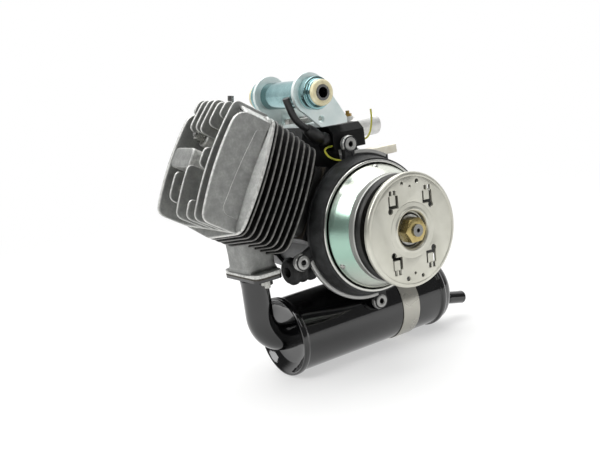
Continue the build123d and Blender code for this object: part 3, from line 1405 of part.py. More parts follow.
# ---------------------------------------------------------------- pivot
def bracket_ear(x0, x1):
    """Round-topped ear of the bracket, bored for the pivot tube."""
    ear = polygon_x(
        [(PIVOT_Y - 0.8 * EAR_R, PIVOT_Z - 0.6 * EAR_R), (BRACKET_FRONT_Y, TOWER_TOP_Z),
         (BRACKET_REAR_Y, TOWER_TOP_Z), (BRACKET_REAR_Y, TOWER_TOP_Z + 6),
         (PIVOT_Y + 0.77 * EAR_R, PIVOT_Z + 0.64 * EAR_R)],
        x0, x1,
    )
    ear += rod_x(x0, x1, EAR_R, PIVOT_Y, PIVOT_Z)
    return ear - rod_x(x0 - 1, x1 + 1, TUBE_R, PIVOT_Y, PIVOT_Z)


def pivot_bracket():
    """Base plate on the tower with an ear welded to each end of it."""
    left_x, right_x = EAR_X
    left_end, right_end = left_x + EAR_T, right_x - EAR_T
    top_z = TOWER_TOP_Z + BRACKET_T
    plate = block(left_end, right_end, BRACKET_FRONT_Y, BRACKET_REAR_Y, TOWER_TOP_Z, top_z)
    for side in (-1, 1):
        for y in BRACKET_BOLT_Y:
            plate -= rod_z(TOWER_TOP_Z - 1, top_z + 1, BRACKET_BOLT_R, bracket_bolt_x(side), y)
    hole = rod_x(right_end - 1, right_x + 1, EAR_HOLE_R, EAR_HOLE_Y, EAR_HOLE_Z)
    return group([plate, bracket_ear(left_x, left_end), bracket_ear(right_end, right_x) - hole])


def bracket_bolts():
    """Four bolts that hold the bracket on the tower."""
    bolts = []
    top = TOWER_TOP_Z + BRACKET_T
    for side in (-1, 1):
        for y in BRACKET_BOLT_Y:
            x = bracket_bolt_x(side)
            head = Pos(x, y, 0) * hex_z(13, top, top + 5)
            bolts.append(rod_z(TOWER_TOP_Z - 15, top, BRACKET_BOLT_R, x, y) + head)
    return group(bolts)


def pivot_tube():
    """Steel tube through the ears with a collar at each end."""
    tube = ring_x(PIVOT_X - TUBE_END, PIVOT_X + TUBE_END, TUBE_R, TUBE_R - TUBE_WALL, PIVOT_Y, PIVOT_Z)
    left_x, right_x = EAR_X
    for x0, x1 in ((left_x - 2 - COLLAR_W, left_x - 2), (right_x + 2, right_x + 2 + COLLAR_W)):
        tube += ring_x(x0, x1, COLLAR_R, TUBE_R - TUBE_WALL, PIVOT_Y, PIVOT_Z)
    return tube


def pivot_bushes():
    """Flanged nylon bush pressed into each end of the tube."""
    bushes = []
    for side in (-1, 1):
        inner, end, face = (PIVOT_X + side * x for x in (TUBE_END - BUSH_LENGTH, TUBE_END, PIVOT_HALF))
        body = rod_x(inner, end, TUBE_R - TUBE_WALL, PIVOT_Y, PIVOT_Z)
        body += rod_x(end, face, BUSH_FLANGE_R, PIVOT_Y, PIVOT_Z)
        bushes.append(body - rod_x(inner - side, face + side, SLEEVE_R + RUN_CLEARANCE, PIVOT_Y, PIVOT_Z))
    return group(bushes)


def pivot_sleeve():
    """Inner steel sleeve that the frame bolt clamps."""
    reach = PIVOT_HALF + 0.5
    return ring_x(PIVOT_X - reach, PIVOT_X + reach, SLEEVE_R, PIVOT_BORE_R, PIVOT_Y, PIVOT_Z)


# ---------------------------------------------------------------- ignition coil and wiring
def ignition_coil():
    """Moulded coil block with a sloped upper edge and the tower of the high-tension lead."""
    x0, x1 = COIL_X
    y0, y1 = COIL_Y
    z0, z1 = COIL_Z
    profile = [
        (x0, z0), (x1, z0), (x1, z1 - COIL_CHAMFER), (x1 - COIL_CHAMFER, z1), (x0, z1),
    ]
    face = make_face(Polyline(*[(x, y0, z) for x, z in profile], close=True))
    body = extrude(face, y1 - y0, dir=(0, 1, 0))
    return body + between(TOWER_START, BOOT_SEAT, BOOT_R - 1)


def coil_boot():
    """Rubber boot over the lead where it leaves the coil."""
    return between(BOOT_SEAT, LEAD_ROUTE[0], BOOT_R, BOOT_END_R)


def routed(points, radius):
    """Round cord along straight runs joined by tangent arcs as large as the runs allow."""
    vectors = [Vector(*point) for point in points]
    runs = [b - a for a, b in zip(vectors, vectors[1:])]
    radii = []
    for before, after in zip(runs, runs[1:]):
        half_turn = radians(before.get_angle(after)) / 2
        radii.append(0.45 * min(before.length, after.length) * cos(half_turn) / sin(half_turn))
    path = FilletPolyline(*vectors, radius=radii)
    start = Plane(origin=vectors[0], z_dir=runs[0])
    cord = sweep(start * Circle(radius), path)
    print("cord radii", [round(value, 1) for value in radii], "length", round(path.length, 1))
    return cord


def ht_lead():
    """High-tension lead with its cut end standing up."""
    return routed(LEAD_ROUTE, LEAD_R)


def stop_wire():
    """Thin wire from the coil with a free stripped end."""
    return routed(STOP_WIRE_ROUTE, WIRE_R)


def earth_wire():
    """Thin wire from the coil down to the crankcase."""
    return routed(EARTH_WIRE_ROUTE, WIRE_R)


def connector():
    """Plain plug-in connector resting on the crankcase pad."""
    z0 = INTAKE_PAD_Z
    shell = block(*CONNECTOR_X, *CONNECTOR_Y, z0, z0 + CONNECTOR_H)
    shell = fillet(shell.edges().filter_by(Axis.Y), 1.2)
    wall = CONNECTOR_WALL
    return shell - block(
        CONNECTOR_X[0] + wall, CONNECTOR_X[1] - wall, CONNECTOR_Y[1] - CONNECTOR_H, CONNECTOR_Y[1] + 1,
        z0 + wall, z0 + CONNECTOR_H - wall,
    )


def connector_leads():
    """Two short leads between the crankcase boss and the connector."""
    z = INTAKE_PAD_Z + CONNECTOR_H / 2
    middle = (CONNECTOR_X[0] + CONNECTOR_X[1]) / 2
    return group([
        rod_y(PAD_FRONT_Y + 0.5, CONNECTOR_Y[0], CONNECTOR_LEAD_R, middle + step, z)
        for step in (-2 * CONNECTOR_LEAD_R, 2 * CONNECTOR_LEAD_R)
    ])


def rubber_buffer():
    """Ribbed rubber buffer on the front of the crankcase."""
    foot_z = BUFFER_Z - BUFFER_R
    back = -((CASE_R ** 2 - foot_z ** 2) ** 0.5)
    body = rod_y(BUFFER_FRONT_Y, back, BUFFER_R - BUFFER_RING_H, BUFFER_X, BUFFER_Z)
    for y in (BUFFER_FRONT_Y + 6, -CASE_R - 2):
        body += rod_y(y - BUFFER_RING_W / 2, y + BUFFER_RING_W / 2, BUFFER_R, BUFFER_X, BUFFER_Z)
    return body - rod_x(0, CASE_HALF + BUFFER_R, CASE_R)


# ---------------------------------------------------------------- write every node
NODES = {
    "crankcase_left": crankcase_left(),
    "crankcase_right": crankcase_right(),
    "body_screws": group(case_screws() + cover_screws() + intake_screws()),
    "rim_ring": rim_ring(),
    "main_bearings": main_bearings(),
    "shaft_seals": shaft_seals(),
    "cylinder": cylinder(),
    "cylinder_fins": cylinder_fins(),
    "gaskets": group([
        case_gasket(),
        sheet_gasket(BASE_C, BASE_GASKET_T, BASE_FLANGE_HALF),
        sheet_gasket(CYLINDER_TOP_C, HEAD_C - CYLINDER_TOP_C, STUD_SPACING / 2 + STUD_COLUMN_R),
        exhaust_gasket(),
    ]),
    "cylinder_head": cylinder_head(),
    "head_studs": head_studs(),
    "head_nuts": head_nuts(),
    "spark_plug": group([spark_plug(), plug_terminal()]),
    "plug_insulator": plug_insulator(),
    "piston": piston(),
    "piston_rings": piston_rings(),
    "gudgeon_pin": group([gudgeon_pin()] + circlips()),
    "connecting_rod": connecting_rod(),
    "needle_cages": group([needle_cage(CRANK_PIN_R, THROW), needle_cage(GUDGEON_R, PIN_C)]),
    "crank_pin": crank_pin(),
    "crank_left": crank_left(),
    "crank_right": crank_right(),
    "crank_fittings": group([hub_key(), flywheel_key(), crank_washer(), flywheel_nut()]),
    "crank_nut": crank_nut(),
    "clutch_hub": clutch_hub(),
    "clutch_shoe_1": clutch_shoe(0),
    "clutch_shoe_2": clutch_shoe(180),
    "clutch_drum": clutch_drum(),
    "pulley_bush": pulley_bush(),
    "rear_dish": rear_dish(),
    "sheave_disc": sheave_disc(),
    "stator": group([stator_plate()] + stator_coils()),
    "flywheel": flywheel(),
    "magneto_cover": magneto_cover(),
    "intake_manifold": intake_manifold(),
    "bleed_screw": bleed_screw(),
    "reed_block": reed_block(),
    "exhaust_flange": exhaust_flange(),
    "exhaust_nuts": exhaust_nuts(),
    "exhaust_pipe": exhaust_pipe(),
    "silencer_shell": silencer_shell(),
    "silencer_front_cap": silencer_front_cap(),
    "silencer_rear_cap": silencer_rear_cap(),
    "silencer_baffles": silencer_baffles(),
    "tailpipe": tailpipe(),
    "silencer_strap": silencer_strap(),
    "silencer_bracket": silencer_bracket(),
    "pivot_bracket": pivot_bracket(),
    "bracket_bolts": bracket_bolts(),
    "pivot_tube": pivot_tube(),
    "pivot_bushes": pivot_bushes(),
    "pivot_sleeve": pivot_sleeve(),
    "ignition_coil": ignition_coil(),
    "coil_boot": coil_boot(),
    "ht_lead": ht_lead(),
    "stop_wire": stop_wire(),
    "earth_wire": earth_wire(),
    "connector": connector(),
    "connector_leads": connector_leads(),
    "rubber_buffer": rubber_buffer(),
}

os.makedirs("parts", exist_ok=True)
for name, shape in NODES.items():
    moved = Pos(-PIVOT_X, -PIVOT_Y, -PIVOT_Z) * shape
    export_step(moved, os.path.join("parts", name + ".step"))
print(len(NODES), "nodes written")
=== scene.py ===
import json
import math
import bmesh
import bpy
import numpy as np
from mathutils import Matrix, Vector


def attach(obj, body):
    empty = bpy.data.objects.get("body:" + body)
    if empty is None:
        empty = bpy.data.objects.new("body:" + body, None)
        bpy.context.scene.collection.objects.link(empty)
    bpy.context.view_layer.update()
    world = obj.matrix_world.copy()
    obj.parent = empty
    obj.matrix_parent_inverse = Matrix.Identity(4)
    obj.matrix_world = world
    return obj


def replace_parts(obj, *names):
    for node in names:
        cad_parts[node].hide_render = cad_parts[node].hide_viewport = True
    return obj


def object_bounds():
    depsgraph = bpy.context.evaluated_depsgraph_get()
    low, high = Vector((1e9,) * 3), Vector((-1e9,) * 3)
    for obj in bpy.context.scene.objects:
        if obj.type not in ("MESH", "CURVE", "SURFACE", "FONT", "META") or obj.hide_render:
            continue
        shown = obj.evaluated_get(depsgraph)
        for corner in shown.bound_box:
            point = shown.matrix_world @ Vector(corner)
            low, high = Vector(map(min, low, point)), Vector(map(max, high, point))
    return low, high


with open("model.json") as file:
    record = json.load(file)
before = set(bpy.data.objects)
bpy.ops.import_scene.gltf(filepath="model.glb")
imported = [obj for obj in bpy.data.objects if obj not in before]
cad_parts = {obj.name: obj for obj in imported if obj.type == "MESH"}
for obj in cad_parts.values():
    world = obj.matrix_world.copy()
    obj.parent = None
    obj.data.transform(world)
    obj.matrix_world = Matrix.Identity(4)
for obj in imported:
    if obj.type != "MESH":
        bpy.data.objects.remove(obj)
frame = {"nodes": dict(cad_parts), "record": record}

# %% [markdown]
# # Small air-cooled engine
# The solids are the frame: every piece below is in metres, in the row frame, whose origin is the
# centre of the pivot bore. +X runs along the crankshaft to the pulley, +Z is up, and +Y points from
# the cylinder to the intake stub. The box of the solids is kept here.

CAD_BOX = [list(corner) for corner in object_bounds()]
NODES = frame["nodes"]
CRANK = np.array([-0.004, 0.042, -0.138])
print("solids from", CAD_BOX[0], "to", CAD_BOX[1])

# %% [markdown]
# ## Camera
# The engine is seen from the pulley's side and from a little above, so that the head's end, its side and
# the whole pulley show together. A camera can be aimed by a constraint. Here its three axes are written
# out instead, which fixes its roll too, and a slightly long lens keeps the proportions natural.

# %% camera
CAMERA_PLACE = (0.742, -0.511, 0.0355)
CAMERA_RIGHT = (0.5761, 0.8059, -0.1358)
CAMERA_UP = (-0.0720, 0.2154, 0.9739)
CAMERA_BACK = (0.8142, -0.5513, 0.1821)
FOCAL_MM = 54.0
SENSOR_MM = 36.0


def make_camera():
    """Camera at its place, whose axes are the columns of its turning matrix."""
    camera = bpy.data.objects.new("camera", bpy.data.cameras.new("camera"))
    bpy.context.scene.collection.objects.link(camera)
    camera.data.lens = FOCAL_MM
    camera.data.sensor_width = SENSOR_MM
    camera.data.clip_start = 0.01
    columns = np.column_stack([CAMERA_RIGHT, CAMERA_UP, CAMERA_BACK])
    camera.matrix_world = Matrix.Translation(CAMERA_PLACE) @ Matrix(columns.tolist()).to_4x4()
    bpy.context.scene.camera = camera


make_camera()
bpy.context.scene.view_settings.view_transform = "Standard"
print("camera of", FOCAL_MM, "mm at", CAMERA_PLACE)

# %% [markdown]
# ## Cords
# There are three short cords. The high-tension lead is a stiff rubber cable of 7 mm, cut off square
# in front of the pivot tube. The stop wire stands up behind the coil with its end bare. The earth
# wire leaves the coil's front face and goes down to the drum's back plate. They could be swept meshes,
# but a NURBS curve keeps its own centreline, on which the real length is measured, so each is one curve
# whose control points are the corners of its route.

# %% cords
LEAD_ROUTE = [
    (0.0295, -0.0044, -0.0338), (0.0325, -0.0161, -0.0268),
    (0.0346, -0.0245, -0.0155), (0.0350, -0.0285, -0.0010),
]
STOP_WIRE_ROUTE = [
    (0.027, 0.0630, -0.0550), (0.027, 0.0695, -0.0550), (0.027, 0.0750, -0.0490),
    (0.027, 0.0778, -0.0410), (0.027, 0.0792, -0.0325), (0.027, 0.0790, -0.0260),
]
EARTH_WIRE_ROUTE = [
    (0.029, 0.0230, -0.0550), (0.029, 0.0155, -0.0550), (0.0325, 0.0095, -0.0580),
    (0.0365, 0.0140, -0.0670), (0.038, 0.0255, -0.0700),
]


def make_cord(name, route, radius):
    """Round cord along a NURBS line of order 3, riding on the engine.
    Its thickness is the bevel depth of one metre times each point's radius, which Blender also adds to
    the piece's box: points left at a radius of 1 would make that box two metres wide."""
    curve = bpy.data.curves.new(name, "CURVE")
    curve.dimensions = "3D"
    curve.bevel_depth = 1.0
    curve.bevel_resolution = 6
    curve.use_fill_caps = True
    line = curve.splines.new("NURBS")
    line.points.add(len(route) - 1)
    for point, place in zip(line.points, route):
        point.co = (*place, 1.0)
        point.radius = radius
    line.order_u = 3
    line.use_endpoint_u = True
    line.resolution_u = 16
    cord = bpy.data.objects.new(name, curve)
    bpy.context.scene.collection.objects.link(cord)
    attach(cord, "engine")
    return cord


LEAD_R, WIRE_R = 0.0035, 0.00095
LEAD = make_cord("lead_cable", LEAD_ROUTE, LEAD_R)
STOP_WIRE = make_cord("stop_cable", STOP_WIRE_ROUTE, WIRE_R)
EARTH_WIRE = make_cord("earth_cable", EARTH_WIRE_ROUTE, WIRE_R)
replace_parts(LEAD, "ht_lead")
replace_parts(STOP_WIRE, "stop_wire")
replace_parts(EARTH_WIRE, "earth_wire")
print("cords:", [cord.name for cord in (LEAD, STOP_WIRE, EARTH_WIRE)])

# %% [markdown]
# ## Building blocks of the materials
# A finish could be painted onto each piece. One worked out from nodes needs no file and stays sharp from
# near by: a noise or ring pattern, whose size is given in millimetres, steers colour, roughness and a
# shallow bump. Colours are written as screen hex and turned linear in one place.

# %% material helpers
def linear(code):
    """Linear RGBA of an sRGB hex colour."""
    values = [int(code[i:i + 2], 16) / 255 for i in (0, 2, 4)]
    return tuple(v / 12.92 if v <= 0.04045 else ((v + 0.055) / 1.055) ** 2.4 for v in values) + (1.0,)


def add(tree, kind, sockets=None, **settings):
    """Adds one shader node, applies its settings, and fills or links its sockets."""
    node = tree.nodes.new("ShaderNode" + kind)
    for key, value in settings.items():
        setattr(node, key, value)
    for key, value in (sockets or {}).items():
        if isinstance(value, bpy.types.NodeSocket):
            tree.links.new(value, node.inputs[key])
        else:
            node.inputs[key].default_value = value
    return node


def start(name, **sockets):
    """New material with a principled shader: returns it, its tree, the shader and object coordinates."""
    material = bpy.data.materials.new(name)
    material.use_nodes = True
    tree = material.node_tree
    tree.nodes.clear()
    shader = add(tree, "BsdfPrincipled", {key.replace("_", " "): value for key, value in sockets.items()})
    add(tree, "OutputMaterial", {"Surface": shader.outputs["BSDF"]})
    return material, tree, shader, add(tree, "TexCoord").outputs["Object"]


def grain(tree, coords, size_mm, low, high, detail=3.0):
    """Noise whose patches are about size_mm across, mapped to the range from low to high."""
    noise = add(tree, "TexNoise", {"Vector": coords, "Scale": 1000.0 / size_mm, "Detail": detail})
    return add(tree, "MapRange", {
        "Value": noise.outputs["Fac"], "From Min": 0.3, "From Max": 0.7, "To Min": low, "To Max": high,
    }).outputs["Result"]


WAVE_SPACING_MM = 314.16  # of the wave texture's rings at a scale of 1: 2 pi / 20 metres


def rings(tree, coords, pitch_mm, low, high):
    """Turning marks: fine rings about the crankshaft, pitch_mm apart."""
    moved = add(tree, "Mapping", {"Vector": coords, "Location": [-c for c in CRANK]}).outputs["Vector"]
    wave = add(tree, "TexWave", {
        "Vector": moved, "Scale": WAVE_SPACING_MM / pitch_mm, "Distortion": 1.5, "Detail": 2.0,
    }, wave_type="RINGS", rings_direction="X")
    spread = add(tree, "MapRange", {"Value": wave.outputs["Fac"], "To Min": low, "To Max": high})
    return spread.outputs["Result"]


def blend(tree, factor, first, second):
    """Colour between two, each a hex code or a colour socket."""
    mix = add(tree, "Mix", data_type="RGBA")
    tree.links.new(factor, mix.inputs["Factor"])
    for index, value in ((6, first), (7, second)):
        if isinstance(value, str):
            mix.inputs[index].default_value = linear(value)
        else:
            tree.links.new(value, mix.inputs[index])
    return mix.outputs[2]


def bump(tree, shader, height, depth_mm):
    """Shallow relief under the shader's normal."""
    relief = add(tree, "Bump", {"Height": height, "Strength": 1.0, "Distance": depth_mm / 1000})
    tree.links.new(relief.outputs["Normal"], shader.inputs["Normal"])


def edge_wear_and_highlight(tree, coords):
    """Share of the rim colour, which is partly rubbed bare metal and partly a painted highlight: the piece's
    rim value, broken up by patches of 3 mm. It is zero on a piece without rim values."""
    wear_and_highlight = add(tree, "Attribute", attribute_name="wear_and_highlight").outputs["Fac"]
    return product(tree, wear_and_highlight, grain(tree, coords, 3.0, 0.35, 1.0))


def product(tree, first, second):
    """Two values multiplied."""
    return add(tree, "Math", {0: first, 1: second}, operation="MULTIPLY").outputs["Value"]


def drive(tree, shader, **sockets):
    """Links computed values to the shader's sockets."""
    for key, value in sockets.items():
        tree.links.new(value, shader.inputs[key.replace("_", " ")])


print("mid grey 808080 is linear", round(linear("808080")[0], 3))

# %% [markdown]
# ## Metals
# Sand-cast aluminium is grey and blotchy, and its fine sandy skin scatters the light softly. Machined
# faces carry turning rings about the crankshaft, which draw a highlight out. Pressed parts are zinc
# plated, bluish on the bracket and a faint green on the dish, and mirror their surroundings softly. One
# recipe for each way of working serves all its parts, and only tint and gloss differ. Sand and turning
# marks are drawn coarser than the real ones, so that they still show on the whole engine.

# %% metal finishes
def cast_aluminium(name, light, dark, roughness, metallic, rim="c9c9c5"):
    """Sand-cast skin: blotches of 8 mm under a sandy grain of 0.7 mm, with a bright rim colour that is
    partly rubbed metal and partly a painted highlight.
    """
    material, tree, shader, coords = start(name, Metallic=metallic)
    blotch = grain(tree, coords, 8.0, 0.0, 1.0)
    sand = grain(tree, coords, 0.7, 0.0, 1.0)
    tone = product(tree, blotch, grain(tree, coords, 2.0, 0.55, 1.0))
    skin_colour = blend(tree, tone, dark, light)
    # The rim colour is partly rubbed bare metal and partly a painted highlight on the rounded rims.
    drive(tree, shader, Base_Color=blend(tree, edge_wear_and_highlight(tree, coords), skin_colour, rim))
    drive(tree, shader, Roughness=grain(tree, coords, 3.0, *roughness))
    bump(tree, shader, sand, 0.12)
    return material


def turned_metal(name, light, dark, pitch_mm, roughness=(0.22, 0.36), metallic=1.0):
    """Lathe-turned or spun metal with rings about the crankshaft."""
    material, tree, shader, coords = start(name, Metallic=metallic)
    marks = rings(tree, coords, pitch_mm, 0.0, 1.0)
    tone = product(tree, marks, grain(tree, coords, 6.0, 0.5, 1.0))
    drive(tree, shader, Base_Color=blend(tree, tone, dark, light))
    drive(tree, shader, Roughness=grain(tree, coords, 1.5, *roughness))
    bump(tree, shader, marks, 0.006)
    return material


def zinc_plate(name, light, dark, roughness=(0.2, 0.34), metallic=0.95, patch_mm=5.0):
    """Zinc-plated pressed steel: a tint in soft clouds patch_mm across and an uneven gloss."""
    material, tree, shader, coords = start(name, Metallic=metallic)
    cloud = grain(tree, coords, patch_mm, 0.0, 1.0)
    drive(tree, shader, Base_Color=blend(tree, cloud, dark, light))
    drive(tree, shader, Roughness=grain(tree, coords, 0.6 * patch_mm, *roughness, detail=1.0))
    return material


def passivated(name, pale, green):
    """Zinc under a green chromate film, which turns pale from 18 to 55 mm above and below the crankshaft."""
    material, tree, shader, coords = start(name, Metallic=0.85)
    height = add(tree, "SeparateXYZ", {"Vector": coords}).outputs["Z"]
    from_axis = add(tree, "Math", {0: height, 1: CRANK[2]}, operation="SUBTRACT").outputs["Value"]
    away = add(tree, "Math", {0: from_axis}, operation="ABSOLUTE").outputs["Value"]
    paler_off_axis = add(tree, "MapRange", {"Value": away, "From Min": 0.018, "From Max": 0.055}).outputs["Result"]
    drive(tree, shader, Base_Color=blend(tree, paler_off_axis, green, pale))
    drive(tree, shader, Roughness=grain(tree, coords, 18.0, 0.2, 0.27, detail=1.0))
    return material


METAL_RECIPES = (cast_aluminium, turned_metal, zinc_plate, passivated)
print("metal recipes:", [recipe.__name__ for recipe in METAL_RECIPES])

# %% [markdown]
# ## Paint, plastic, rubber
# The exhaust is stove-enamelled gloss black: a clear coat over the colour gives its deep, long
# highlights, and orange peel bends them a little. Plastic mouldings copy the fine eroded texture of
# their mould, so they look satin. Rubber is matt with a dusty bloom. A plain colour would do from far
# away, but would look like clay from near by.

# %% non-metal finishes
def enamel(name, colour, dusty):
    """Gloss enamel with orange peel of 2.5 mm and a trace of dust."""
    material, tree, shader, coords = start(name, Metallic=0.0)
    shader.inputs["Coat Weight"].default_value = 0.6
    shader.inputs["Coat Roughness"].default_value = 0.04
    dust = grain(tree, coords, 14.0, 0.0, 0.25, detail=6.0)
    drive(tree, shader, Base_Color=blend(tree, dust, colour, dusty))
    drive(tree, shader, Roughness=grain(tree, coords, 5.0, 0.06, 0.14))
    bump(tree, shader, grain(tree, coords, 2.5, 0.0, 1.0, detail=1.0), 0.01)
    return material


def moulded(name, colour, shade, roughness=(0.32, 0.48), texture_mm=0.35, depth_mm=0.02, gloss=0.5):
    """Moulded plastic with a fine eroded texture and cloudy shade."""
    material, tree, shader, coords = start(name, Metallic=0.0, Specular_IOR_Level=gloss)
    cloud = grain(tree, coords, 7.0, 0.0, 1.0)
    drive(tree, shader, Base_Color=blend(tree, cloud, shade, colour))
    drive(tree, shader, Roughness=grain(tree, coords, 2.0, *roughness))
    bump(tree, shader, grain(tree, coords, texture_mm, 0.0, 1.0), depth_mm)
    return material


def rubber(name, colour, bloom, roughness=(0.5, 0.75)):
    """Matt rubber with a dusty bloom."""
    return moulded(name, colour, bloom, roughness, texture_mm=0.6, depth_mm=0.04)


print("other recipes:", [recipe.__name__ for recipe in (enamel, moulded, rubber)])

# %% [markdown]
# ## Finish of every part
# Each slot of the record has one material, and every solid gets that of its slot. A piece made below
# takes one of them, or a variant that stands for the same slot where one part shows two finishes.

# %% one material per slot
FINISHES = {
    # Crankcase: satin black over cast metal, one bright ring, dull gasket edges, pale screws
    "case_dark": cast_aluminium("satin_black_casting", "343536", "1b1c1c", (0.32, 0.46), 0.3),
    "rim_silver": turned_metal("bright_turned_rim", "e2e2de", "bdbdb8", 0.5, (0.18, 0.28)),
    "paper": moulded("gasket_paper", "4a4338", "332e27", (0.7, 0.85)),
    "screw_steel": zinc_plate("zinc_screw", "b9b9b4", "8d8d89"),
    "bearing_steel": turned_metal("ground_steel", "b8b8ba", "9c9c9f", 0.3, (0.12, 0.2)),
    "seal_rubber": rubber("seal_rubber", "141414", "262625"),
    # Cylinder and head: heat paint and bare pale casting with a sandy skin, their rims drawn bright, partly
    # rubbed metal and partly a painted highlight
    "cylinder_black": cast_aluminium("black_heat_paint", "2a2a29", "181817", (0.36, 0.5), 0.3, "92918d"),
    "head_alloy": cast_aluminium("sand_cast_head", "a3a4a1", "868785", (0.4, 0.52), 0.7, "e9e9e5"),
    "stud_steel": turned_metal("plain_stud", "8f8f8d", "6e6e6c", 0.4),
    "plug_steel": turned_metal("nickel_plated_plug", "c2c2c0", "9a9a98", 0.4, (0.12, 0.22)),
    "ceramic": moulded("glazed_ceramic", "e9dfc4", "d8cba8", (0.08, 0.16), 2.0, 0.004),
    # Crank train: ground and turned metal in greys, dark rings, and the nut's warm yellow
    "piston_alloy": turned_metal("turned_piston", "b4b4b2", "969694", 0.4),
    "ring_iron": turned_metal("ring_iron", "58585a", "424244", 0.3),
    "rod_steel": cast_aluminium("forged_rod", "77736f", "55524f", (0.4, 0.6), 0.9),
    "crank_steel": turned_metal("turned_crank", "9f9f9d", "80807e", 0.35),
    "nut_yellow": zinc_plate("yellow_zinc_nut", "c3b27c", "ab9862", (0.24, 0.34), 0.9, 9.0),
    # Clutch and pulley: brownish hub and linings, grey band, greenish dish, satin pale disc
    "hub_steel": turned_metal("plain_hub", "6b665c", "4b473f", 0.5, (0.35, 0.5)),
    "lining": cast_aluminium("sintered_lining", "5a5550", "403c38", (0.6, 0.8), 0.5),
    "drum_steel": turned_metal("turned_drum", "b9bab6", "a3a4a0", 0.6, (0.3, 0.42), 0.6),
    "bronze": turned_metal("sintered_bronze", "9f7a48", "7d5f38", 0.4, (0.3, 0.45)),
    "dish_zinc": passivated("green_zinc_dish", "dcdfd4", "9dbdae"),
    "disc_steel": zinc_plate("satin_zinc_disc", "d4d3c8", "c6c5b9", (0.28, 0.38), 0.8, 22.0),
    # Magneto: glossy copper-brown winding, grey flywheel, and a cover of satin black plastic
    "winding": moulded("varnished_winding", "7b3d1c", "4f2812", (0.25, 0.4)),
    "flywheel_steel": turned_metal("turned_flywheel", "8a8a8b", "6d6d6e", 0.5),
    "cover_black": moulded("moulded_cover", "131314", "1d1d1e", (0.4, 0.55), 0.5, 0.03),
    # Intake: nearly white fine casting with a brass screw
    "intake_alloy": cast_aluminium("cast_intake", "e4e4e1", "d2d2d0", (0.3, 0.44), 0.5),
    "screw_brass": turned_metal("turned_brass", "b4924f", "86703f", 0.3),
    "reed_plastic": moulded("reed_plastic", "222222", "2c2c2c"),
    # Exhaust: gloss black, and a strap of pale rolled stainless
    "exhaust_black": enamel("stove_enamel", "050506", "1a1a1c"),
    "strap_steel": zinc_plate("polished_stainless", "bdbbb2", "b3b1a8", (0.26, 0.32), 0.7, 40.0),
    "baffle_steel": zinc_plate("plain_baffle", "6a6560", "4d4945", (0.4, 0.6)),
    # Pivot: bluish white zinc with soft clouds, and warm cream nylon
    "bracket_zinc": zinc_plate("blue_zinc_bracket", "eff8f6", "dbe9e8", (0.3, 0.4), 0.4, 20.0),
    "bush_cream": moulded("cream_nylon", "e6dfbf", "d3c89f", (0.32, 0.46), 0.8, 0.02),
    # Ignition and buffer: dull black resin and rubber, bright thin wires, cream plug
    "coil_black": moulded("coil_resin", "0a0a0b", "101011", (0.45, 0.6), 0.8, 0.01, 0.2),
    "boot_rubber": rubber("boot_rubber", "0d0d0d", "1b1b1b", (0.35, 0.5)),
    "lead_black": rubber("lead_rubber", "0e0e0f", "1d1d1e", (0.3, 0.45)),
    "wire_yellow": moulded("yellow_wire", "b9b53a", "8f8b2a", (0.3, 0.45)),
    "wire_green": moulded("green_wire", "7a8f2c", "c0b83a", (0.3, 0.45)),
    "connector_cream": moulded("cream_connector", "f4f0e2", "e6e0cd", (0.35, 0.5)),
    "buffer_rubber": rubber("buffer_rubber", "0c0c0c", "1c1c1c"),
}
# Second finishes: a groove in shade, a tube plated darker than its bracket, and satin machined bosses
VARIANTS = {
    # Painted shade: the groove's wall is dark grey for the shadow inside the belt's groove.
    "groove_steel": ("drum_steel", turned_metal("shaded_groove", "4c4c4b", "363635", 0.5, (0.4, 0.5))),
    "teal_tube": (
        "bracket_zinc", zinc_plate("teal_zinc_tube", "9fbfc1", "6f9497", (0.12, 0.18), 0.95, 26.0)),
    "machined_face": (
        "rim_silver", turned_metal("machined_boss", "bcbcb9", "989896", 0.4, (0.3, 0.42), 0.6)),
}
SLOT_OF_NODE = {part["node"]: part["material_slot"] for part in frame["record"]["subparts"]}


def look_of(finish):
    """The record slot and the material behind the name of a finish."""
    return VARIANTS[finish] if finish in VARIANTS else (finish, FINISHES[finish])


def dress(obj, finish):
    """Gives every slot of an object one finish."""
    if not obj.data.materials:
        obj.data.materials.append(FINISHES[finish])
    for index in range(len(obj.data.materials)):
        obj.data.materials[index] = FINISHES[finish]


for node_name, node_object in NODES.items():
    dress(node_object, SLOT_OF_NODE[node_name])
dress(LEAD, "lead_black")
dress(STOP_WIRE, "wire_yellow")
dress(EARTH_WIRE, "wire_green")
print(len(FINISHES), "finishes on", len(NODES), "solids")

# %% [markdown]
# ## Building blocks of the shapes
# New pieces are surfaces worked out with numpy. A shape is three things: points in millimetres, faces,
# and a rim value for each point, which is 1 on rounded rims. There the rim colour is drawn: partly bare
# metal, where handling and heat take the finish off first, and partly a painted highlight. A plate could
# be a box with a Bevel modifier, but only a rim made ring by ring knows where its rim colour goes. So a
# plate starts from an outline with rounded corners, and is skinned from edge to edge.

# %% outlines and plates
FLAT_MARGIN_MM = 1.2
RIM_STEPS = 4


def rounded(corners, radii, steps=5):
    """Closed outline whose corner B becomes (1-s)^2 P0 + 2s(1-s) B + s^2 P1, P0 and P1 one radius away."""
    corners = np.asarray(corners, float)
    outline = []
    for index, (corner, radius) in enumerate(zip(corners, radii)):
        before, after = corners[index - 1], corners[(index + 1) % len(corners)]
        if radius == 0:
            outline.append(corner)
            continue
        first = corner + (before - corner) * min(0.49, radius / np.linalg.norm(before - corner))
        last = corner + (after - corner) * min(0.49, radius / np.linalg.norm(after - corner))
        for s in np.linspace(0, 1, steps + 1):
            outline.append((1 - s) ** 2 * first + 2 * s * (1 - s) * corner + s ** 2 * last)
    return np.array(outline)


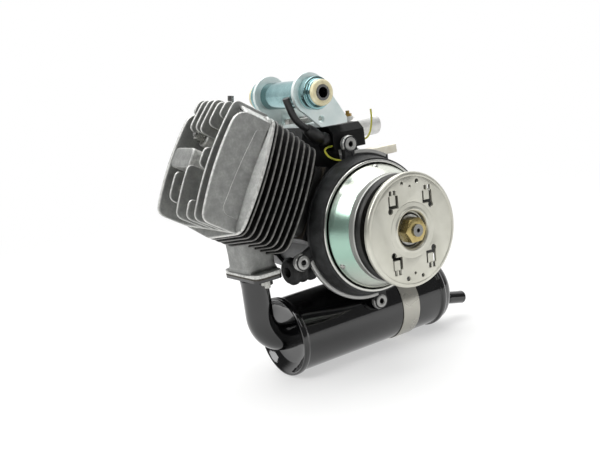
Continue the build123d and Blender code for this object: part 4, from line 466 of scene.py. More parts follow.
def filled(outline, spacing):
    """The outline with extra points on its straight runs, no more than spacing apart."""
    points = []
    for start_point, end_point in zip(outline, np.roll(outline, -1, axis=0)):
        pieces = max(1, int(np.ceil(np.linalg.norm(end_point - start_point) / spacing)))
        points += [start_point + (end_point - start_point) * k / pieces for k in range(pieces)]
    return np.array(points)


def plate(outline, low, high, edge):
    """Plate over an outline from low to high, its rims rounded by edge.
    Ring at angle a: the outline drawn in by e (1 - cos a), at height low + e (1 - sin a), and the same
    at the far face; one more ring lies a margin further in on each flat, so that its shading stays flat."""
    outline = np.asarray(outline, float)
    area = np.sum(outline[:, 0] * np.roll(outline[:, 1], -1) - np.roll(outline[:, 0], -1) * outline[:, 1])
    along = np.roll(outline, -1, axis=0) - np.roll(outline, 1, axis=0)
    along /= np.linalg.norm(along, axis=1)[:, None] * np.sign(area)
    outward = np.column_stack([along[:, 1], -along[:, 0]])
    turns = np.radians(np.linspace(90, 0, RIM_STEPS + 1))
    # The third value is 1 at the rim's tip, where the bright rim colour goes: partly rubbed metal, partly a
    # painted highlight.
    near = [(edge * (1 - math.cos(a)), low + edge * (1 - math.sin(a)), math.cos(a) ** 4) for a in turns]
    far = [(drawn, high - (height - low), rim_wear_and_highlight) for drawn, height, rim_wear_and_highlight in reversed(near)]
    near.insert(0, (edge + FLAT_MARGIN_MM, low, 0.0))
    far.append((edge + FLAT_MARGIN_MM, high, 0.0))
    rings_of_points = [
        np.column_stack([outline - outward * drawn, np.full(len(outline), height)])
        for drawn, height, _ in near + far
    ]
    return skin(rings_of_points, [rim_wear_and_highlight for _, _, rim_wear_and_highlight in near + far])


def skin(rings_of_points, rim_wear_and_highlight, caps=True):
    """Quads between successive closed rings, with a flat face over each end ring."""
    count, total = len(rings_of_points[0]), len(rings_of_points)
    ring, index = np.meshgrid(np.arange(total - 1) * count, np.arange(count), indexing="ij")
    after = (index + 1) % count
    quads = np.stack([ring + index, ring + after, ring + count + after, ring + count + index], axis=-1)
    faces = quads.reshape(-1, 4).tolist()
    if caps:
        faces.append(list(range(count - 1, -1, -1)))
        faces.append(list(range((total - 1) * count, total * count)))
    return np.vstack(rings_of_points), faces, np.repeat(np.asarray(rim_wear_and_highlight, float), count)


def circle(radius, count=48, centre=(0.0, 0.0)):
    """Round outline."""
    turns = np.linspace(0, 2 * np.pi, count, endpoint=False)
    return np.column_stack([centre[0] + radius * np.cos(turns), centre[1] + radius * np.sin(turns)])


print("a plate 2 mm thick over a circle has", len(plate(circle(20), 0, 2, 0.5)[1]), "faces")

# %% [markdown]
# ## Turned and swept surfaces
# Anything made on a lathe is one profile turned about its axis, and anything bent from tube or bar is
# one ring carried along a path. Both could be curves with a bevel, but as arrays they can be joined,
# turned round and placed like every other shape here.

# %% lathe, sweep and joining
def lathe(profile, count=96, closed=False):
    """Surface of revolution about the third axis: (r cos t, r sin t, h) for (h, r) along a profile.
    A closed profile makes a ring; an open one is capped where its radius isn't zero."""
    turns = np.linspace(0, 2 * np.pi, count, endpoint=False)
    rings_of_points = [
        np.column_stack([r * np.cos(turns), r * np.sin(turns), np.full(count, float(h))]) for h, r in profile
    ]
    if closed:
        rings_of_points.append(rings_of_points[0])
    return skin(rings_of_points, [0.0] * len(rings_of_points), caps=not closed)


def swept(path, radii, across, count=36):
    """Round bar along a path: P + r (cos t S + sin t U), S = T x across and U = S x T, T the tangent."""
    path, radii = np.asarray(path, float), np.asarray(radii, float)
    tangent = np.gradient(path, axis=0)
    tangent /= np.linalg.norm(tangent, axis=1)[:, None]
    side = np.cross(tangent, across)
    side /= np.linalg.norm(side, axis=1)[:, None]
    up = np.cross(side, tangent)
    turns = np.linspace(0, 2 * np.pi, count, endpoint=False)[None, :, None]
    rings_of_points = path[:, None] + radii[:, None, None] * (
        np.cos(turns) * side[:, None] + np.sin(turns) * up[:, None]
    )
    return skin(list(rings_of_points), [0.0] * len(path))


def merged(shapes):
    """Several shapes as one."""
    faces, offset = [], 0
    for points, quads, _ in shapes:
        faces += [tuple(index + offset for index in face) for face in quads]
        offset += len(points)
    return np.vstack([s[0] for s in shapes]), faces, np.concatenate([s[2] for s in shapes])


def turned_axes(shape, order):
    """The same shape with its axes reordered, such as (2, 0, 1) for a height that runs across."""
    return shape[0][:, order], shape[1], shape[2]


def shifted(shape, offset):
    """The same shape moved."""
    return shape[0] + np.asarray(offset, float), shape[1], shape[2]


print("a plain ring has", len(lathe([(0, 5), (0, 6), (2, 6), (2, 5)], closed=True)[1]), "faces")

# %% [markdown]
# ## Placing and building
# The drawing numbers of a part count from the crankshaft, or across and along the tilted bore. One
# function turns each of these into metres in the row frame, so the mesh holds its own place and the
# object stays at the origin. The normals are weighted by face, so flats stay flat beside rounded rims.

# %% placing and building
TILT = math.radians(31.5)


def from_crank(points):
    """Row-frame metres of points in millimetres about the crank."""
    return CRANK + np.asarray(points, float) / 1000


def from_cylinder(points):
    """Row-frame metres of points in millimetres across (x), up (u) and along the bore (c)."""
    x, u, c = np.asarray(points, float).T
    y = u * math.sin(TILT) - c * math.cos(TILT)
    z = u * math.cos(TILT) + c * math.sin(TILT)
    return CRANK + np.column_stack([x, y, z]) / 1000


def build(name, shape, place, finish, body="engine"):
    """Mesh object of a shape, put in the row frame, with its finish, its body and weighted normals."""
    points, faces, rim_wear_and_highlight = shape
    mesh = bpy.data.meshes.new(name)
    mesh.from_pydata(place(points).tolist(), [], faces)
    edit = bmesh.new()
    edit.from_mesh(mesh)
    bmesh.ops.recalc_face_normals(edit, faces=edit.faces)
    edit.to_mesh(mesh)
    edit.free()
    # Rim values for the bright rim colour, partly rubbed metal and partly a painted highlight.
    mesh.attributes.new("wear_and_highlight", "FLOAT", "POINT").data.foreach_set("value", rim_wear_and_highlight)
    mesh.polygons.foreach_set("use_smooth", [True] * len(mesh.polygons))
    obj = bpy.data.objects.new(name, mesh)
    bpy.context.scene.collection.objects.link(obj)
    obj.modifiers.new("normals", "WEIGHTED_NORMAL").keep_sharp = True
    slot, material = look_of(finish)
    mesh.materials.append(material)
    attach(obj, body)
    print(name, len(mesh.polygons), "faces")
    return obj


print("the cylinder is tilted by", round(math.degrees(TILT), 1), "degrees")

# %% [markdown]
# ## Cylinder fins
# On the real engine the barrel is one aluminium casting dipped in black heat paint. Its fin rims are
# drawn bright, partly for paint rubbed off and partly as a painted highlight. Each fin is a thin plate with
# bowed sides and a shallow V below, 2.4 mm thick and 7 mm from the next. Eight copies by an Array
# modifier would all be alike, but the real ones grow towards the head, so each is drawn from its own
# outline, with a fully rounded rim in the bright rim colour.

# %% cylinder fins
FIN_PITCH = 7.0
FIN_T = 2.4
FIN_EDGE = 1.15
FIN_COUNT = 8
FIN_FIRST_C = 86.0
FIN_LOW_U = -57
FIN_FIRST_TOP_U, FIN_TOP_GROWTH = 49, 7
FIN_BOW = 7.1


def bowed(outline, low_u, high_u, bow):
    """Outline whose x grows by bow * 4s(1-s) at the sides, s running from its top to its bottom."""
    share = np.clip((high_u - outline[:, 1]) / (high_u - low_u), 0, 1)
    half = np.abs(outline[:, 0]).max()
    outline = outline.copy()
    outline[:, 0] += outline[:, 0] / half * bow * 4 * share * (1 - share)
    return outline


def fin_outline(top_u):
    """Outline of a cylinder fin in (x, u)."""
    corners = [(-46, top_u), (-53, FIN_LOW_U), (0, -66), (53, FIN_LOW_U), (46, top_u)]
    outline = filled(rounded(corners, [9, 9, 4, 9, 9]), 4.0)
    return bowed(outline, FIN_LOW_U, top_u, FIN_BOW)


def cylinder_fins():
    """Eight fins; the ones nearer the crankcase are shorter at the top."""
    shapes = []
    for index in range(FIN_COUNT):
        top_u = FIN_FIRST_TOP_U + FIN_TOP_GROWTH * index / (FIN_COUNT - 1)
        middle = FIN_FIRST_C + FIN_PITCH * index
        shapes.append(plate(fin_outline(top_u), middle - FIN_T / 2, middle + FIN_T / 2, FIN_EDGE))
    return merged(shapes)


FINS = build("fin_stack", cylinder_fins(), from_cylinder, "cylinder_black")
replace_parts(FINS, "cylinder", "cylinder_fins")

# %% [markdown]
# ## Barrel and exhaust port
# Between the fins the round barrel and its four stud columns show, painted as the fins are. The barrel
# keeps its real bore, in which the piston slides. The port casting below is left bare. A cylinder with
# a Boolean hole would do, but a turned section gives the bore and its soft mouth in one go.

# %% barrel and port
STUD_HALF = 27
COLUMN_R = 6.5
BORE_CLEAR_R = 19.7
BASE_CLEAR_R, BASE_HALF = 20.4, 37.0
BARREL_SECTION = rounded(
    [(63.4, BORE_CLEAR_R), (63.4, 27.0), (136.4, 27.0), (136.4, BORE_CLEAR_R)], [0.5] * 4, 3)
FLANGE_SECTION = rounded(
    [(63.2, BASE_CLEAR_R), (63.2, BASE_HALF), (72.0, BASE_HALF), (72.0, BASE_CLEAR_R)], [0.9] * 4, 3)


def squared_ring(section, inner, outer):
    """Ring turned from a section of (c, radius). From the inner to the outer radius it swells by up to
    (|cos t|^8 + |sin t|^8)^(-1/8) at angle t, which makes its outside a square with round corners."""
    points, *rest = lathe(section, closed=True)
    radius = np.hypot(points[:, 0], points[:, 1])
    square = np.sum(np.abs(points[:, :2] / radius[:, None]) ** 8, axis=1) ** (-1 / 8)
    share = np.clip((radius - inner) / (outer - inner), 0.0, 1.0)
    swell = 1.0 + share * (square - 1.0)
    return (np.column_stack([points[:, :2] * swell[:, None], points[:, 2]]), *rest)


def cylinder_barrel():
    """Bored barrel, stud columns between the fins, and bored base flange."""
    shapes = [lathe(BARREL_SECTION, closed=True), squared_ring(FLANGE_SECTION, BASE_CLEAR_R, BASE_HALF)]
    for x in (-STUD_HALF, STUD_HALF):
        for u in (-STUD_HALF, STUD_HALF):
            shapes.append(plate(circle(COLUMN_R, 24, (x, u)), 70, 136.4, 0.5))
    return merged(shapes)


PORT_Y = -111.0


def port_casting():
    """Exhaust neck under the fins, its outline swelling and shrinking a little by height, and its flange."""
    neck = rounded([(-22, -17), (22, -17), (22, 17), (-22, 17)], [8] * 4)
    rings_of_points = []
    for height, swell in ((34, 1.0), (8, 1.0), (-8, 0.95), (-19, 0.95), (-24.5, 1.05)):
        rings_of_points.append(np.column_stack([neck * swell, np.full(len(neck), float(height))]))
    flange = rounded([(-31, -16), (31, -16), (31, 16), (-31, 16)], [8] * 4)
    shapes = [skin(rings_of_points, [0.0] * 5), plate(flange, -28, -23.6, 0.9)]
    return shifted(merged(shapes), (0, PORT_Y, 0))


build("barrel_casting", cylinder_barrel(), from_cylinder, "cylinder_black")
build("exhaust_port_casting", port_casting(), from_crank, "head_alloy")

# %% [markdown]
# ## Head fins
# The real head is a bare sand casting. Between its side walls stand thin plate fins of different
# lengths, cut away round the nuts and the plug, with rounded tips drawn a little brighter, partly for
# rubbed metal and partly as a painted highlight. They could be cut from one block, but fins are read more
# easily from a table of where each one starts and ends, and their crowned outline is worked out from that.

# %% head fins
# Place across the engine, and lower and upper end, of each fin
HEAD_FINS = (
    (30.0, -58.0, 60.0), (15.0, -58.0, -39.0), (15.0, -9.0, 12.0), (15.0, 42.0, 60.0),
    (2.5, 33.0, 60.0), (-5.0, -58.0, -6.0), (-8.5, 26.0, 63.0), (-19.0, 28.0, 63.0),
    (-25.0, -43.0, -13.0), (-30.0, 28.0, 63.0), (-38.0, 46.0, 63.0),
)


HEAD_FIN_T, HEAD_FIN_EDGE, HEAD_FIN_TIP_R = 2.8, 1.25, 7.0
TIP_C, TIP_CROWN, CROWN_HALF = 178.0, 6.0, 60.0


def crowned_outline(low_u, high_u, foot_c, radii):
    """Outline in (u, c) of a plate whose tip bows out: s of the way up, c + crown (1 - (u/half)^2) s."""
    corners = [(low_u, foot_c), (high_u, foot_c), (high_u, TIP_C), (low_u, TIP_C)]
    outline = filled(rounded(corners, [0, 0, radii[1], radii[0]]), 3.5)
    rise = (outline[:, 1] - foot_c) / (TIP_C - foot_c)
    outline[:, 1] += TIP_CROWN * (1 - (outline[:, 0] / CROWN_HALF) ** 2) * rise
    return outline


def upright(shape):
    """A plate drawn in (u, c) with its thickness across the engine."""
    return turned_axes(shape, (2, 0, 1))


def head_fins():
    """Plate fins between the side walls."""
    shapes = []
    for x, low_u, high_u in HEAD_FINS:
        tip = min(HEAD_FIN_TIP_R, (high_u - low_u) / 3)
        outline = crowned_outline(low_u, high_u, 140.0, (tip, tip))
        shapes.append(upright(plate(outline, x - HEAD_FIN_T / 2, x + HEAD_FIN_T / 2, HEAD_FIN_EDGE)))
    return merged(shapes)


build("head_plate_fins", head_fins(), from_cylinder, "head_alloy")

# %% [markdown]
# ## Head casting
# The body of the head is a base flange that follows the fins below it, a floor, two tall side walls
# whose front edge bows, four bosses for the nuts, a dome over the combustion chamber and a flat pad. A
# drafted slope runs from each wall to the flange, as it does on a casting that has to leave its sand.
# Sculpting would lose the straight lines of the pattern maker, so each form is a plate or a skin.

# %% head casting
HEAD_TOP_U = 56.0
WALL_X = 46.0


def flank_half(u):
    """Half width of the base flange at a height u: its corners' straight line plus the fins' bow."""
    share = (HEAD_TOP_U - u) / (HEAD_TOP_U - FIN_LOW_U)
    return WALL_X + 7.0 * share + FIN_BOW * 4 * share * (1 - share)


def flange_slope(side):
    """Drafted slope from the side wall out to the bowed flange: a section for each height, whose rise
    follows a sine and is greatest half way down."""
    heights = np.linspace(52.0, -55.0, 40)
    rise = 0.4 + 3.0 * np.sin(np.pi * (52.0 - heights) / 120.0)
    rings_of_points = []
    for u, up in zip(heights, rise):
        rim = flank_half(u) - 1.2
        top = 142.0 + up
        section = [(WALL_X, 141.0), (WALL_X, top), (WALL_X + 0.7, top), (rim, 142.3), (rim, 141.0)]
        rings_of_points.append(np.array([(side * x, u, c) for x, c in section]))
    return skin(rings_of_points, [0.0] * len(rings_of_points))


def top_shoulder(side):
    """Sloping shoulder between the side wall's lower top edge and the inner block."""
    corners = [(28, 44), (28, 56.0), (31, 57.4), (46.4, 49.6), (46.4, 44)]
    section = rounded(corners, [1.0, 2.0, 2.0, 1.2, 1.0])
    section[:, 0] *= side
    return plate(section, 140.0, 171.0, 2.5)


def raised_panel():
    """Thin raised field on the pulley-side wall."""
    corners = [(43, 143), (38, 155.5), (0, 161), (-40.5, 163), (-45, 158), (-45, 143)]
    outline = rounded(corners, [1, 2, 30, 3, 3, 1])
    return upright(plate(filled(outline, 4.0), WALL_X, 46.95, 0.4))


def head_body():
    """Base flange, floor, side walls, bosses, dome and flat pad."""
    shapes = [plate(fin_outline(HEAD_TOP_U), 137.6, 142.0, 1.4)]
    floor = rounded([(-46, -58), (46, -58), (46, 55.5), (-46, 55.5)], [7] * 4)
    shapes.append(plate(filled(floor, 5.0), 140, 147, 1.5))
    for low_x, high_x in ((-46.5, -42.0), (42.0, 46.5)):
        wall = crowned_outline(-58, 50, 139.0, (9.0, 14.0))
        shapes.append(upright(plate(wall, low_x, high_x, 1.5)))
    for side in (-1, 1):
        shapes += [flange_slope(side), top_shoulder(side)]
    shapes.append(raised_panel())
    for x in (-STUD_HALF, STUD_HALF):
        for u in (-STUD_HALF, STUD_HALF):
            shapes.append(plate(circle(9, 32, (x, u)), 140, 166.7, 2.2))
    shapes.append(plate(circle(23, 64), 140, 160, 2.0))
    pad = rounded([(-43, -10), (-5, -10), (-5, 10), (-43, 10)], [6] * 4)
    shapes.append(plate(filled(pad, 3.0), 140, 183, 2.2))
    return merged(shapes)


HEAD_BODY = build("head_casting", head_body(), from_cylinder, "head_alloy")
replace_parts(HEAD_BODY, "cylinder_head")

# %% [markdown]
# ## Softened castings
# The castings, mouldings and pressings that are boxes, plates and bosses joined together have no sharp
# corner in reality. They could be drawn anew, but their solids already have the right shape. So these are
# copied, their loose triangles merged, the flats made whole again, and a Bevel modifier rounds every
# edge sharper than 28 degrees, so that edges catch the light.

# %% softened copies
MERGE_WITHIN_M = 2e-6
FLAT_WITHIN = math.radians(0.4)
SHARP_FROM = math.radians(28)


def softened(node_name, name, width_mm, finish, body="engine", steps=3):
    """Copy of a solid, for which it stands, with its sharp edges rounded off width_mm from the corner."""
    mesh = NODES[node_name].data.copy()
    edit = bmesh.new()
    edit.from_mesh(mesh)
    bmesh.ops.remove_doubles(edit, verts=edit.verts, dist=MERGE_WITHIN_M)
    bmesh.ops.dissolve_limit(edit, angle_limit=FLAT_WITHIN, verts=edit.verts, edges=edit.edges)
    edit.to_mesh(mesh)
    edit.free()
    if "custom_normal" in mesh.attributes:
        mesh.attributes.remove(mesh.attributes["custom_normal"])
    mesh.name = name
    mesh.polygons.foreach_set("use_smooth", [True] * len(mesh.polygons))
    obj = bpy.data.objects.new(name, mesh)
    bpy.context.scene.collection.objects.link(obj)
    bevel = obj.modifiers.new("rounded edges", "BEVEL")
    bevel.width = width_mm / 1000
    bevel.segments = steps
    bevel.limit_method = "ANGLE"
    bevel.angle_limit = SHARP_FROM
    bevel.harden_normals = True
    bevel.miter_outer = "MITER_ARC"
    mesh.materials.clear()
    mesh.materials.append(FINISHES[finish])
    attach(obj, body)
    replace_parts(obj, node_name)
    print(name, len(mesh.polygons), "faces before rounding")


for softened_piece in (
    ("crankcase_left", "left_case", 0.9, "case_dark"),
    ("crankcase_right", "right_case", 0.9, "case_dark"),
    ("intake_manifold", "intake_elbow", 0.6, "intake_alloy"),
    ("ignition_coil", "coil_block", 1.2, "coil_black"),
    ("magneto_cover", "fan_cover", 1.0, "cover_black"),
    ("pivot_bracket", "pivot_ears", 0.7, "bracket_zinc"),
    ("connector", "plug_connector", 0.6, "connector_cream"),
    ("exhaust_flange", "pipe_flange", 0.5, "exhaust_black"),
    ("sheave_disc", "front_disc", 0.35, "disc_steel", "sheave", 2),
    ("crank_nut", "shaft_nut", 0.5, "nut_yellow", "crankshaft"),
    ("silencer_bracket", "silencer_hanger", 1.0, "case_dark"),
):
    softened(*softened_piece)

# %% [markdown]
# ## Clutch side
# Behind the pulley sits a pressed dish, greenish with three rivets in its flank, then a turned steel
# band and the wall of the belt's groove, coloured dark grey as painted shade for the shadow in the
# groove. A thin bright ring lines the mouth of the black drum. A Screw modifier could turn them. All of
# them are round about the crankshaft, so each is one profile of (x, radius) turned about it, with its
# corners softened first.

# %% clutch side
def turned(points, corner, count=160):
    """Ring about the crankshaft from a closed profile of (x, radius) points in millimetres."""
    shape = lathe(rounded(points, [corner] * len(points), 3), count, closed=True)
    return turned_axes(shape, (2, 0, 1))


def polar(radius, angle):
    """(y, z) at a radius from the crankshaft, the angle turned from +Y towards +Z."""
    return radius * math.cos(math.radians(angle)), radius * math.sin(math.radians(angle))


DISH_PROFILE = [
    (64.9, 60.2), (65.2, 61.5), (66.6, 61.3), (71.0, 59.7), (76.0, 57.5), (81.0, 55.1), (84.6, 53.3),
    (86.4, 51.6), (86.4, 20.0), (84.6, 20.0), (84.6, 50.6), (66.6, 58.6),
]
DISH = build("pressed_dish", turned(DISH_PROFILE, 0.9), from_crank, "dish_zinc", "pulley")
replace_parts(DISH, "rear_dish")


FLANK_SLOPE = math.radians(24)
RIVET_R, RIVET_ROOT = 3.0, -0.6
RIVET_FROM_AXIS, RIVET_X = 59.9, 70.0


def domed_rivet(angle):
    """Rivet head: half ellipsoid of height 0.5 R sqrt(1 - (r/R)^2), square to the dish's flank."""
    turns = np.radians(np.linspace(0, 88, 8))
    dome = [(0.5 * RIVET_R * math.sin(t), RIVET_R * math.cos(t)) for t in turns]
    points, faces, rim_wear_and_highlight = lathe([(RIVET_ROOT, RIVET_R)] + dome, 28)
    up_flank, around, height = points.T
    x = RIVET_X + height * math.sin(FLANK_SLOPE) - up_flank * math.cos(FLANK_SLOPE)
    away = RIVET_FROM_AXIS + height * math.cos(FLANK_SLOPE) + up_flank * math.sin(FLANK_SLOPE)
    y, z = polar(1.0, angle)
    return np.column_stack([x, away * y - around * z, away * z + around * y]), faces, rim_wear_and_highlight


RIVETS = merged([domed_rivet(angle) for angle in (88, 208, 328)])
build("dish_rivets", RIVETS, from_crank, "screw_steel", "pulley")

# %% band, groove and mouth ring
BAND_PROFILE = [(85.6, 50.0), (85.6, 53.2), (87.0, 53.4), (92.6, 53.4), (93.6, 52.6), (93.6, 50.0)]
CLUTCH_BAND = build("clutch_band", turned(BAND_PROFILE, 0.6), from_crank, "drum_steel", "pulley")
GROOVE_PROFILE = [
    (93.0, 50.4), (93.0, 52.6), (97.4, 52.2), (99.6, 50.6), (103.2, 29.0), (104.4, 16.7), (109.8, 16.7),
    (109.8, 10.2), (100.2, 10.2), (100.2, 29.0),
]
# The groove wall's dark grey is painted shade, for the shadow inside the belt's groove.
build("groove_wall", turned(GROOVE_PROFILE, 0.4), from_crank, "groove_steel", "pulley")
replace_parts(CLUTCH_BAND, "clutch_drum")

RIM_PROFILE = [
    (59.5, 62.7), (64.2, 62.7), (65.0, 63.5), (65.0, 64.9), (64.2, 65.7), (63.1, 65.7), (63.1, 64.4),
    (59.5, 64.4),
]
RIM_RING = build("mouth_ring", turned(RIM_PROFILE, 0.35), from_crank, "rim_silver")
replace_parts(RIM_RING, "rim_ring")

# %% [markdown]
# ## Front disc
# The sliding disc is pressed from sheet: its rim is rolled back, and its middle ends in a raised pale lip
# round the dark recess of the nut. Turning the whole disc would lose its windows, which stay those of
# the solid. So rim and lip are turned rings laid on it, whose rounded edges catch the light.

# %% front disc
ROLLED_RIM = [
    (110.8, 52.6), (110.8, 54.6), (113.0, 55.3), (115.0, 55.0), (116.3, 53.4), (116.45, 51.2), (115.2, 50.8),
    (113.5, 52.6),
]
build("rolled_rim", turned(ROLLED_RIM, 0.7), from_crank, "disc_steel", "sheave")
HUB_LIP = [
    (115.9, 27.0), (116.2, 26.4), (116.3, 22.0), (117.3, 20.6), (117.2, 19.2), (115.5, 17.6), (111.6, 17.1),
    (111.6, 19.0), (115.2, 20.5), (115.2, 27.0),
]
build("hub_lip", turned(HUB_LIP, 0.6), from_crank, "disc_steel", "sheave")

# %% [markdown]
# ## Cover bosses
# Three bosses carry the belt cover. Their faces and the arcs beside them round the drum are machined, so
# they are bright against the dark casting. Painting them onto the casting would give no edge to catch
# the light, so a boss is a turned sleeve, and an arc is a bar carried along part of a circle.

# %% cover bosses
BOSS_ANGLES = (94.0, 194.0, 276.0)
BOSS_FROM_AXIS = 83.0
ARC_SPANS = ((196, 274), (60, 92))
ARC_SECTION = rounded([(41.8, 72.0), (46.4, 72.0), (46.4, 75.9), (41.8, 75.9)], [1.1] * 4, 3)


def cover_boss(angle):
    """Turned sleeve with a bevelled face, a raised lip round its dark hole and a sloping shoulder."""
    profile = [(39.8, 2.6), (39.8, 8.6), (43.6, 8.9), (45.6, 7.4), (46.5, 5.8), (46.7, 4.0), (46.0, 2.6)]
    shape = turned_axes(lathe(rounded(profile, [0.5] * 7, 3), 48, closed=True), (2, 0, 1))
    return shifted(shape, (0, *polar(BOSS_FROM_AXIS, angle)))


def flange_arc(start_angle, end_angle):
    """Bar round the crankshaft: at angle t the section's (x, r) becomes (x, r cos t, r sin t)."""
    x, r = ARC_SECTION.T
    turns = np.radians(np.linspace(start_angle, end_angle, 60))
    return skin([np.column_stack([x, r * math.cos(t), r * math.sin(t)]) for t in turns], [0.0] * len(turns))


BOSSES = merged([cover_boss(angle) for angle in BOSS_ANGLES])
build("boss_faces", BOSSES, from_crank, "machined_face")
ARCS = merged([flange_arc(*span) for span in ARC_SPANS])
build("flange_arcs", ARCS, from_crank, "machined_face")

# %% [markdown]
# ## Silencer
# The silencer is a rolled canister with a dished front cap and a domed rear cap, each folded over the
# body in a bead, and a stainless strap holds it. Three bevelled solids would show hard creases where they
# meet, so canister and caps are one turned surface with soft beads, which gives the long clean
# highlights of gloss black.

# %% silencer
SILENCER_Z = -101.0
BODY_R = 39.0
DOME_START_Y, DOME_DEPTH = 106.0, 20.0


def about_silencer(shape):
    """A lathe shape laid along the silencer's axis."""
    return shifted(turned_axes(shape, (0, 2, 1)), (0, 0, SILENCER_Z))


CAP_PROFILE = [
    (-80.0, 14.0), (-80.0, 27.0), (-82.0, 32.0), (-86.0, 36.0), (-89.0, 38.0), (-89.4, 39.6), (-88.4, 40.9),
    (-86.0, 41.05), (-83.6, 40.9), (-82.6, 39.3), (-80.0, 39.0),
]
SEAM_PROFILE = [
    (96.0, 39.0), (97.8, 39.3), (98.6, 40.8), (101.0, 41.05), (103.4, 40.8), (104.4, 39.4), (106.6, 39.0),
]
DOME_TURNS = np.radians(np.linspace(12, 90, 16))
DOME_PROFILE = [
    (DOME_START_Y + DOME_DEPTH * math.sin(t), BODY_R * math.cos(t)) for t in DOME_TURNS[:-1]
] + [(DOME_START_Y + DOME_DEPTH, 0.0)]


def smoothed(profile):
    """Profile with every corner but its two ends rounded, up to half its runs."""
    return rounded(profile, [0.0] + [9.0] * (len(profile) - 2) + [0.0], 3)


CANISTER = lathe(smoothed(CAP_PROFILE + SEAM_PROFILE + DOME_PROFILE), 128)
SILENCER = build("silencer_canister", about_silencer(CANISTER), from_crank, "exhaust_black")
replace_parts(SILENCER, "silencer_shell", "silencer_front_cap", "silencer_rear_cap")

STRAP_SECTION = rounded([(42, 39.1), (42, 39.95), (65, 39.95), (65, 39.1)], [0.4] * 4, 3)
LUG_OUTLINE = rounded([(-9, 45.5), (9, 45.5), (9, 61.5), (-9, 61.5)], [2.0] * 4)
STRAP_RING = about_silencer(lathe(STRAP_SECTION, 128, closed=True))
STRAP = merged([STRAP_RING, plate(LUG_OUTLINE, -63.0, -56.0, 0.8)])
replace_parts(build("clamp_band", STRAP, from_crank, "strap_steel"), "silencer_strap")

# %% [markdown]
# ## Pipes
# The down pipe is bent from tube, straight from the port and then in a quarter circle into the
# silencer. The tail is a short turned spigot, bored at its end. Both could be bevelled curves, but the
# pipe's mouth flares and the spigot's path turns back inside its bore, so each gives its own radii.

# %% down pipe and tail
BEND_R, PIPE_R = 29, 14.0
BEND = np.radians(np.linspace(0, 90, 24))
PIPE_PATH = np.vstack([
    [(0.0, PORT_Y, z) for z in np.linspace(-29.2, -70.0, 8)],
    np.column_stack([0 * BEND, -82 - BEND_R * np.cos(BEND), -72 - BEND_R * np.sin(BEND)]),
    [(0.0, y, SILENCER_Z) for y in (-80.0, -76.0, -72.0)],
])
PIPE = swept(PIPE_PATH, [14.9, 14.4] + [PIPE_R] * (len(PIPE_PATH) - 2), (1.0, 0.0, 0.0), 64)
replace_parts(build("down_pipe", PIPE, from_crank, "exhaust_black"), "exhaust_pipe")

TAIL_START, TAIL_END = np.array((16.0, 118.0, -113.8)), np.array((16.0, 149.5, -120.5))
TAIL_SHARE = [0.0, 0.24, 0.27, 0.3, 0.9, 0.93, 0.97, 0.995, 1.0, 1.0001, 0.97]
TAIL_RADII = [6.2, 6.2, 6.6, 7.0, 7.0, 7.2, 7.2, 7.0, 6.6, 5.6, 5.3]


def straight_tube(start_point, end_point, shares, radii):
    """Rings square to the line from start to end, each at its share of it, which may turn back in a bore."""
    aim = (end_point - start_point) / np.linalg.norm(end_point - start_point)
    side = np.cross(aim, (1.0, 0.0, 0.0))
    turns = np.linspace(0, 2 * np.pi, 40, endpoint=False)[:, None]
    circle_points = np.cos(turns) * side + np.sin(turns) * np.cross(side, aim)
    path = start_point + np.outer(shares, end_point - start_point)
    return skin([point + r * circle_points for point, r in zip(path, radii)], [0.0] * len(radii))


TAIL = straight_tube(TAIL_START, TAIL_END, TAIL_SHARE, TAIL_RADII)
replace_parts(build("tail_spigot", TAIL, from_crank, "exhaust_black"), "tailpipe")

# %% [markdown]
# ## Pivot tube
# The steel tube is turned and zinc plated, with a collar outside each ear. Its nylon bushes have soft
# moulded flanges, and the steel sleeve for the frame bolt stands a little out of them. Rounding the
# solids' edges alone would keep the bushes' faces flat, so tube and bushes are turned from new profiles.

# %% pivot tube
PIVOT = (0.0, -42.0, 138.0)


def about_pivot(profile, corner):
    """Closed profile of (x, radius) turned about the pivot's axis."""
    return shifted(turned(profile, corner, 96), PIVOT)


TUBE_PROFILE = [
    (-48.0, 11.2), (-48.0, 12.4), (-46.8, 13.5), (-43.2, 13.5), (-43.2, 16.0), (-34.0, 16.0), (-34.0, 13.5),
    (42.0, 13.5), (42.0, 16.0), (51.2, 16.0), (51.2, 13.5), (54.8, 13.5), (56.0, 12.4), (56.0, 11.2),
]
TUBE = build("zinc_tube", about_pivot(TUBE_PROFILE, 0.9), from_crank, "teal_tube")
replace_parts(TUBE, "pivot_tube")


TUBE_MIDDLE_X = 4


def nylon_bush(side):
    """Flange with a rounded rim and a shallow ring round its bore, and the body inside the tube."""
    profile = [
        (38.0, 7.6), (38.0, 10.9), (52.0, 10.9), (52.0, 12.6), (55.2, 12.6), (56.1, 11.6), (56.1, 10.4),
        (55.7, 10.0), (55.7, 8.4), (56.0, 7.6),
    ]
    return about_pivot([(TUBE_MIDDLE_X + side * x, r) for x, r in profile], 0.7)


BUSHES = build("nylon_bushes", merged([nylon_bush(-1), nylon_bush(1)]), from_crank, "bush_cream")
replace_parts(BUSHES, "pivot_bushes")

# %% [markdown]
# ## Rubber
# The coil's boot is a moulded sleeve: a ribbed mouth on the coil, a waist, and a fat body that grips the
# lead and sags a little. The buffer low on the crankcase is a ribbed block. Soft rubber has no crease, so
# the boot is a ring that swells and shrinks along its path, and the buffer a turned profile.

